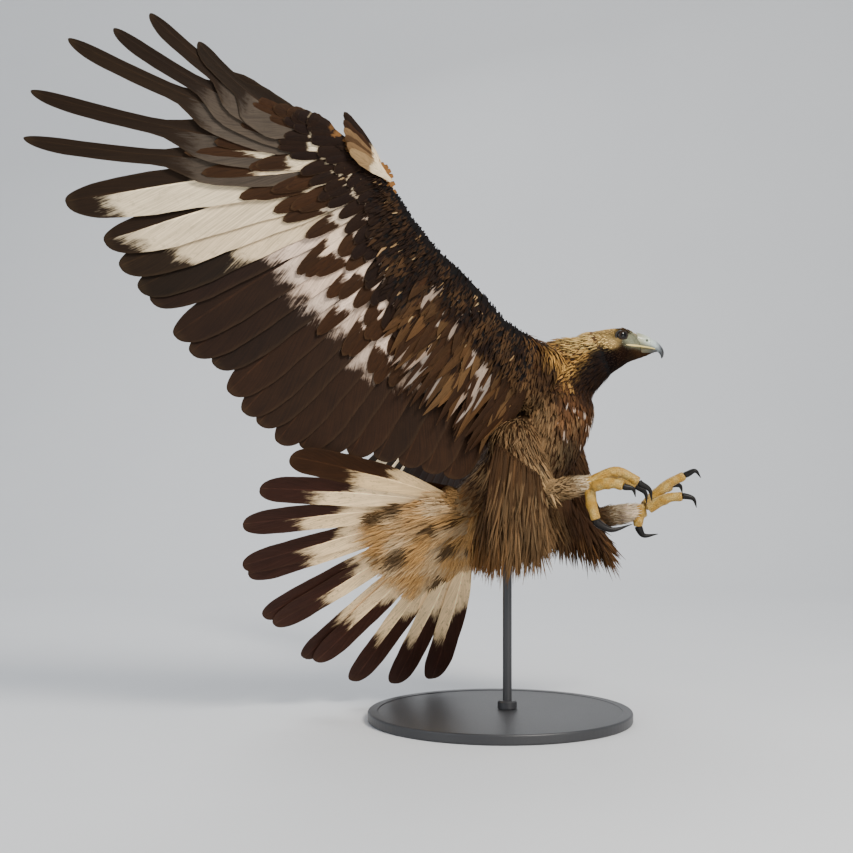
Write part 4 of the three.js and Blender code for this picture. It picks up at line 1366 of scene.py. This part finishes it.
def trouserLocks():
    roots, tips = [], []
    many = lockSize["perRow"]
    for (fromRoot, toRoot), (fromTip, toTip), drop in trousers:
        for layer in range(lockSize["layers"]):
            t = (np.arange(many) + 0.5 * dice.random(many)) / many
            root, tip = (np.array(a) + (np.array(b) - np.array(a)) * t[:, None]
                         for a, b in ((fromRoot, toRoot), (fromTip, toTip)))
            tip[:, 2] -= drop * np.sin(np.pi * t)
            lobe = np.abs(np.sin(tip[:, 0] / lockSize["clump"] + layer * 0.3))
            shorter = (0.45 + 0.11 * layer) * (1 - 0.07 * lobe) * (1 + shaken(0.06, many))
            tip = root + (tip - root) * shorter[:, None]
            tip += shaken(np.array(lockSize["tipShake"]), tip.shape)
            tip[:, 2] += 9 * clouds(tip * [1, 1, 0], 9)
            tip[:, 0] += 3 * np.sin(tip[:, 0] / lockSize["clump"] * 2)
            roots.append(root + shaken(np.array(lockSize["rootShake"]), root.shape))
            tips.append(tip)
    roots, tips = np.concatenate(roots), np.concatenate(tips)
    count = len(roots)
    along = unit(tips - roots)
    out = np.column_stack([shaken(0.5, count), -np.ones(count), np.zeros(count)])
    out = unit(out - along * np.einsum("ij,ij->i", along, out)[:, None])
    near, far = bodyTones(roots + (tips - roots) * 0.5)
    low = 0.4 * ramp(tips[:, 2], 262, -26) * (0.5 + 0.5 * np.clip(clouds(tips, 14), -1, 1))
    far = blend(far, tone("tawny"), low)
    return {
        "root": roots, "along": along, "across": np.cross(along, out), "out": out, "drop": 0,
        "stand": shaken(4, count), "sway": shaken(14, count), "length": np.linalg.norm(tips - roots, axis=1),
        "width": lockSize["width"], "crown": 1.2, "seed": dice.random(count),
        "edge": 0.6 + shaken(0.2, count), "spots": 0.2, "near": varied(near, 0.2),
        "far": varied(blend(far, near, np.full(count, 0.3)), 0.2),
        "spot": np.stack([roots[:, 0] * 0.004 % 1, roots[:, 2] * 0.003 % 1], -1),
    }


featherPiece("trouser_locks", [bodyFeathers("lock", "lance", trouserLocks())], coatFinish, "golden_feathers",
             "thigh_right", "thigh_left")


# The skin under the coat takes the tones of the feathers that grow from it.
def paintSkin():
    roots, colours = (np.concatenate(rows) for rows in zip(*rootNotes))
    finder = kdtree.KDTree(len(roots))
    for k, root in enumerate(roots):
        finder.insert(root, k)
    finder.balance()
    shades = np.ones((len(skin.data.vertices), 4))
    for k, vert in enumerate(skin.data.vertices):
        shades[k, :3] = colours[[found[1] for found in finder.find_n(vert.co, 4)]].mean(axis=0)
    addLayer(skin.data, "rootTone", "FLOAT_COLOR", "color", shades)


paintSkin()
carry(skin, "body_feathers", skinFinish(), "torso", "neck", "head", "tarsus_right", "tarsus_left")
print("the coat is on")


# The bill: hooked upper half, its waxy base, the lower half and the yellow gape.
bill = {
    "upper": [
        [210, 0, 589.5, 11, 14], [220, 0, 587.8, 9.6, 13], [230, 0, 584.8, 8, 11], [238.5, 0, 581, 6.8, 8.6],
        [245.5, 0, 576, 5.6, 6.2], [249.8, 0, 570.5, 4.2, 4.2], [251.2, 0, 565, 2.4, 2.4],
        [250.4, 0, 560.5, 0.9, 0.9],
    ],
    "lower": [
        [208, 0, 572, 7, 11.5], [221, 0, 572.6, 5.4, 8.8], [232, 0, 572.6, 3.8, 6.8],
        [241, 0, 572.4, 2.4, 4.4], [246, 0, 572.2, 1.2, 2],
    ],
    "cereEnd": 231,
    "gape": [[239, 8.4, 574.8], [228, 11.8, 576.9], [214, 17.2, 578.6], [202, 22.4, 579.6], [190, 27, 580.6]],
    "gapeSize": [0.8, 1.2, 1.5, 1.7, 1.1],
    "nostril": [[225, 8, 587], [227.5, 16, 588.6]],
}


def cutAt(mesh, x, side):
    geometry = mesh.verts[:] + mesh.edges[:] + mesh.faces[:]
    bmesh.ops.bisect_plane(
        mesh, geom=geometry, plane_co=(x * mm, 0, 0), plane_no=(side, 0, 0), clear_outer=True, dist=1e-7
    )
    open_ = [edge for edge in mesh.edges if edge.is_boundary]
    bmesh.ops.holes_fill(mesh, edges=open_, sides=0)


def loftPiece(name, form, sides, cut=None):
    mesh = bmesh.new()
    loft(mesh, formRings(form, sides))
    if cut:
        cutAt(mesh, *cut)
    return finishMesh(mesh, name)


def billPiece(name, half, up, cut=None, grow=0.0):
    return loftPiece(name, fairForm(bill[half], up, grow, 40), 32, cut)


def bore(piece, cutter):
    cut = piece.modifiers.new("bore", "BOOLEAN")
    cut.object = cutter
    cut.solver = "EXACT"
    bakeModifiers(piece)
    bpy.data.objects.remove(cutter)


billStops = [
    (0.0, (0.5, 0.55, 0.47)), (0.5, (0.42, 0.48, 0.47)), (0.78, (0.1, 0.11, 0.12)),
    (0.92, (0.015, 0.015, 0.015)),
]
lowerStops = [
    (0.0, (0.12, 0.09, 0.035)), (0.4, (0.1, 0.09, 0.05)), (0.75, (0.04, 0.04, 0.04)),
    (1.0, (0.02, 0.02, 0.02)),
]
cereStops = [(0.0, (0.27, 0.26, 0.15)), (0.45, (0.36, 0.37, 0.25)), (1.0, (0.5, 0.55, 0.46))]
gapeStops = [(0.0, (0.72, 0.55, 0.2)), (1.0, (0.66, 0.52, 0.16))]
hornBill = smoothFinish("billHorn", 0.3, billStops, 0, 0.226, 0.253, 900.0, 0.0003, 0.5, 0.3)
hornLower = smoothFinish("billHornLower", 0.35, lowerStops, 0, 0.215, 0.246, 900.0, 0.0003, 0.4, 0.1)
cereWax = smoothFinish("cereWax", 0.4, cereStops, 0, 0.208, 0.229, 700.0, 0.0004, 0.5, 0.2)
gapeSkin = smoothFinish("gapeSkin", 0.4, gapeStops, 0, 0.19, 0.24, 700.0, 0.0004, 0.5, 0.1)

upperBill = billPiece("bill_upper", "upper", [1, 0, 1], (bill["cereEnd"] + 0.15, -1))
cere = billPiece("cere_wax", "upper", [1, 0, 1], (bill["cereEnd"] - 0.15, 1), 0.5)
lowerBill = billPiece("bill_lower", "lower", [0, 0, 1])
sides = {-1: "right", 1: "left"}
for side, sideName in sides.items():
    nostril, gape = ([[x, side * y, z] for x, y, z in bill[key]] for key in ("nostril", "gape"))
    bore(cere, loftPiece("nostril_cutter", limbForm(nostril, [2.1, 2.1]), 14))
    carry(loftPiece(f"gape_{sideName}", limbForm(gape, bill["gapeSize"]), 14), "yellow_skin", gapeSkin)
carry(upperBill, "pale_horn", hornBill, "upper_bill")
carry(cere, "yellow_skin", cereWax, "cere")
carry(lowerBill, "pale_horn", hornLower, "lower_bill")


# Eyes: a dark brown iris round a black pupil under a clear dome, in bare lids.
irisStops = [
    (0.0, (0.002, 0.002, 0.002)), (0.5, (0.003, 0.002, 0.002)), (0.56, (0.016, 0.008, 0.004)),
    (0.85, (0.026, 0.013, 0.006)), (0.96, (0.006, 0.004, 0.003)),
]
lidStops = [(0.0, (0.12, 0.1, 0.06)), (0.3, (0.03, 0.024, 0.016)), (1.0, (0.012, 0.009, 0.007))]


def eyeFinish():
    material, place, shader = finish("eyeGloss", 0.14, 0.28)
    centre = place.node("ShaderNodeUVMap", {"uv_map": "Iris"}, {})
    away = centre.part(0)
    rays = place.pack(centre.part(1) * 40, away * 2).noise(1.0, 3.0)
    colour = place.node("ShaderNodeValToRGB", {"stops": irisStops}, {0: away})
    wire(shader, Base_Color=colour.lit(0.6 + rays * 0.8))
    return material


eyeGloss = eyeFinish()
lidSkin = smoothFinish("lidSkin", 0.45, lidStops, 2, 0.586, 0.602, 900.0, 0.0003)


def eyePiece(side, name):
    mesh = bmesh.new()
    bmesh.ops.create_uvsphere(mesh, u_segments=48, v_segments=32, radius=eye["radius"] * mm)
    gaze = Vector((eye["ahead"], side, eye["up"])).normalized()
    turn = Vector((0, 0, 1)).rotation_difference(gaze).to_matrix()
    layer = mesh.loops.layers.uv.new("Iris")
    for vert in mesh.verts:
        facing = vert.co.normalized().z
        vert.co *= 1 + eye["dome"] * max(0, (facing - 0.75) / 0.25) ** 0.8
    for face in mesh.faces:
        for corner in face.loops:
            spot = corner.vert.co.normalized()
            away = math.acos(max(-1, min(1, spot.z))) / math.radians(eye["irisAngle"])
            corner[layer].uv = (min(away, 1), math.atan2(spot.y, spot.x) / math.tau + 0.5)
    middle = Vector((eye["place"][0], side * eye["place"][1], eye["place"][2])) * mm
    for vert in mesh.verts:
        vert.co = turn @ vert.co + middle
    return finishMesh(mesh, name)


def lidPiece(side, name, count=40):
    mesh = bmesh.new()
    rings = []
    for turn in ringTurns(count):
        upper = max(0, math.sin(turn))
        reach = eye["lid"] * (1 - 0.1 * upper)
        radial = np.array([math.cos(turn), 0, math.sin(turn)])
        aside = side * (eye["place"][1] + 6.6 - 1.6 * math.cos(turn) + 0.5 * upper)
        centre = np.array([eye["place"][0], aside, eye["place"][2]]) + reach * radial * [1.06, 1, 1]
        thick = 1.15 + 0.5 * upper
        ways = [math.cos(s) * radial + math.sin(s) * np.array([0, side, 0]) for s in ringTurns(12)]
        rings.append([centre + thick * way for way in ways])
    loft(mesh, rings)
    return finishMesh(mesh, name)


for side, sideName in sides.items():
    carry(eyePiece(side, f"eyeball_{sideName}"), "eye", eyeGloss, f"eye_{sideName}")
    carry(lidPiece(side, f"lid_{sideName}"), "dark_horn", lidSkin)


# Feet: scaled toes round a padded palm; each path has three points of the toe, then three of its claw.
feet = {
    "right": {
        "middle": [[134, -122, 376], [166, -127, 388], [198, -129, 374],
                   [200, -129, 371], [214, -128, 362], [218, -126, 345]],
        "inner": [[136, -112, 372], [170, -102, 378], [197, -99, 368],
                  [199, -99, 366], [212, -98, 356], [214, -97, 340]],
        "outer": [[133, -130, 367], [154, -142, 372], [173, -148, 369],
                  [175, -148, 367], [187, -149, 364], [191, -148, 352]],
        "hind": [[127, -122, 362], [130, -124, 338], [136, -125, 318],
                 [137, -125, 314], [158, -125, 303], [190, -122, 311]],
    },
    "left": {
        "middle": [[234, 48, 332], [264, 42, 362], [292, 40, 378],
                   [297, 40, 380], [309, 38, 385], [318, 38, 374]],
        "inner": [[236, 38, 326], [262, 28, 342], [286, 22, 346],
                  [289, 22, 346], [303, 20, 342], [308, 19, 328]],
        "outer": [[232, 58, 328], [254, 68, 350], [276, 74, 360],
                  [279, 74, 362], [291, 76, 360], [295, 77, 348]],
        "hind": [[222, 50, 316], [221, 50, 304], [221, 50, 297],
                 [222, 50, 294], [229, 50, 283], [252, 48, 285]],
    },
}
toeSize = {"radii": [9.5, 8.5, 7], "palm": [10.5, 12, 9], "claw": 5, "hindClaw": 6.2, "scute": 5.5}


def toeRings(bones, sides=20, rings=44):
    form = limbForm(bones, toeSize["radii"], 0.0, rings)
    run = np.concatenate([[0], np.cumsum(np.linalg.norm(np.diff(form["centre"], axis=0), axis=1))])
    wave = (run / toeSize["scute"]) % 1
    joint = sum(np.exp(-(((run - run[-1] * share) / 5) ** 2)) for share in (0.5, 0.92))
    top = np.cos(ringTurns(sides))
    made = []
    for k, ring in enumerate(formRings(form, sides)):
        swell = 0.9 + 0.07 * np.clip(top, 0, 1) * wave[k] + (0.16 * np.clip(-top, 0, 1) + 0.03) * joint[k]
        made.append(form["centre"][k] + (ring - form["centre"][k]) * swell[:, None])
    return made


def footPiece(leg, toes, name):
    mesh = bmesh.new()
    for path in toes.values():
        loft(mesh, toeRings(path[:3]))
    ankle = np.array(leg["foot"])
    shin = unit(ankle - leg["heel"])
    loft(mesh, formRings(limbForm([ankle - shin * 10, ankle, ankle + shin * 8], toeSize["palm"]), 20))
    foot = finishMesh(mesh, name)
    remesh(foot, 0.0011, 3)
    return foot


toeSkin = scaleFinish()
clawStops = [(0.0, (0.012, 0.01, 0.009)), (0.5, (0.007, 0.006, 0.006)), (1.0, (0.012, 0.01, 0.009))]
clawHorn = smoothFinish("clawHorn", 0.35, clawStops, 1, -0.15, 0.08, 800.0, 0.0002, 0.16, 0.0)
for sideName, toes in feet.items():
    carry(footPiece(legs[sideName], toes, f"toes_{sideName}"), "yellow_skin", toeSkin, f"foot_{sideName}")
    for toe, path in toes.items():
        thick = toeSize["hindClaw"] if toe == "hind" else toeSize["claw"]
        form = limbForm(path[2:], [thick * 0.94, thick, thick * 0.66, 0.45], 0.0, 30)
        hook = loftPiece(f"hook_{sideName}_{toe}", form, 20)
        carry(hook, "dark_horn", clawHorn, f"claw_{sideName}_{toe}")
print("head, feet and claws are on")


# The display stand: a weighted disc and one rod into the body.
stand = {
    "radius": 205, "thick": 16, "edge": 3, "groove": (12, 1.5, 1), "rodRadius": 7, "rodTop": 372,
    "rodPlace": (12, 14), "collar": 15, "collarHigh": 12,
}


def standPiece():
    mesh = bmesh.new()
    radius, thick = stand["radius"] * mm, stand["thick"] * mm
    size = {"radius1": radius, "radius2": radius, "depth": thick}
    bmesh.ops.create_cone(mesh, cap_ends=True, segments=128, **size)
    bmesh.ops.translate(mesh, verts=mesh.verts, vec=(0, 0, thick / 2))
    corners = [edge for edge in mesh.edges if len(edge.link_faces) == 2 and edge.calc_face_angle(0) > 1]
    rounding = {"affect": "EDGES", "segments": 4, "profile": 0.5, "material": -1}
    bmesh.ops.bevel(mesh, geom=corners, offset=stand["edge"] * mm, **rounding)
    top = max(mesh.faces, key=lambda face: face.calc_center_median().z)
    inwards, wide, deep = (part * mm for part in stand["groove"])
    bmesh.ops.inset_region(mesh, faces=[top], thickness=inwards, depth=0)
    bmesh.ops.inset_region(mesh, faces=[top], thickness=wide, depth=-deep)
    return finishMesh(mesh, "stand_disc", rough=True)


def rodPiece():
    mesh = bmesh.new()
    low = stand["thick"] + 0.3
    shoulder = low + stand["collarHigh"]
    collar, radius, top = stand["collar"], stand["rodRadius"], stand["rodTop"]
    profile = [
        (0, low), (collar, low), (collar, shoulder - 2), (collar - 2, shoulder), (radius, shoulder),
        (radius, top - 1), (radius - 1, top), (0, top),
    ]
    row = [mesh.verts.new((r * mm, 0, z * mm)) for r, z in profile]
    parts = row + [mesh.edges.new(pair) for pair in zip(row, row[1:])]
    turn = {"cent": (0, 0, 0), "axis": (0, 0, 1), "angle": math.tau, "steps": 48, "use_merge": True}
    bmesh.ops.spin(mesh, geom=parts, **turn)
    x, y = stand["rodPlace"]
    bmesh.ops.translate(mesh, verts=mesh.verts, vec=(x * mm, y * mm, 0))
    return finishMesh(mesh, "stand_post", rough=True)


satin = standFinish()
carry(standPiece(), "stand", satin, "stand_base")
carry(rodPiece(), "stand", satin, "stand_rod")
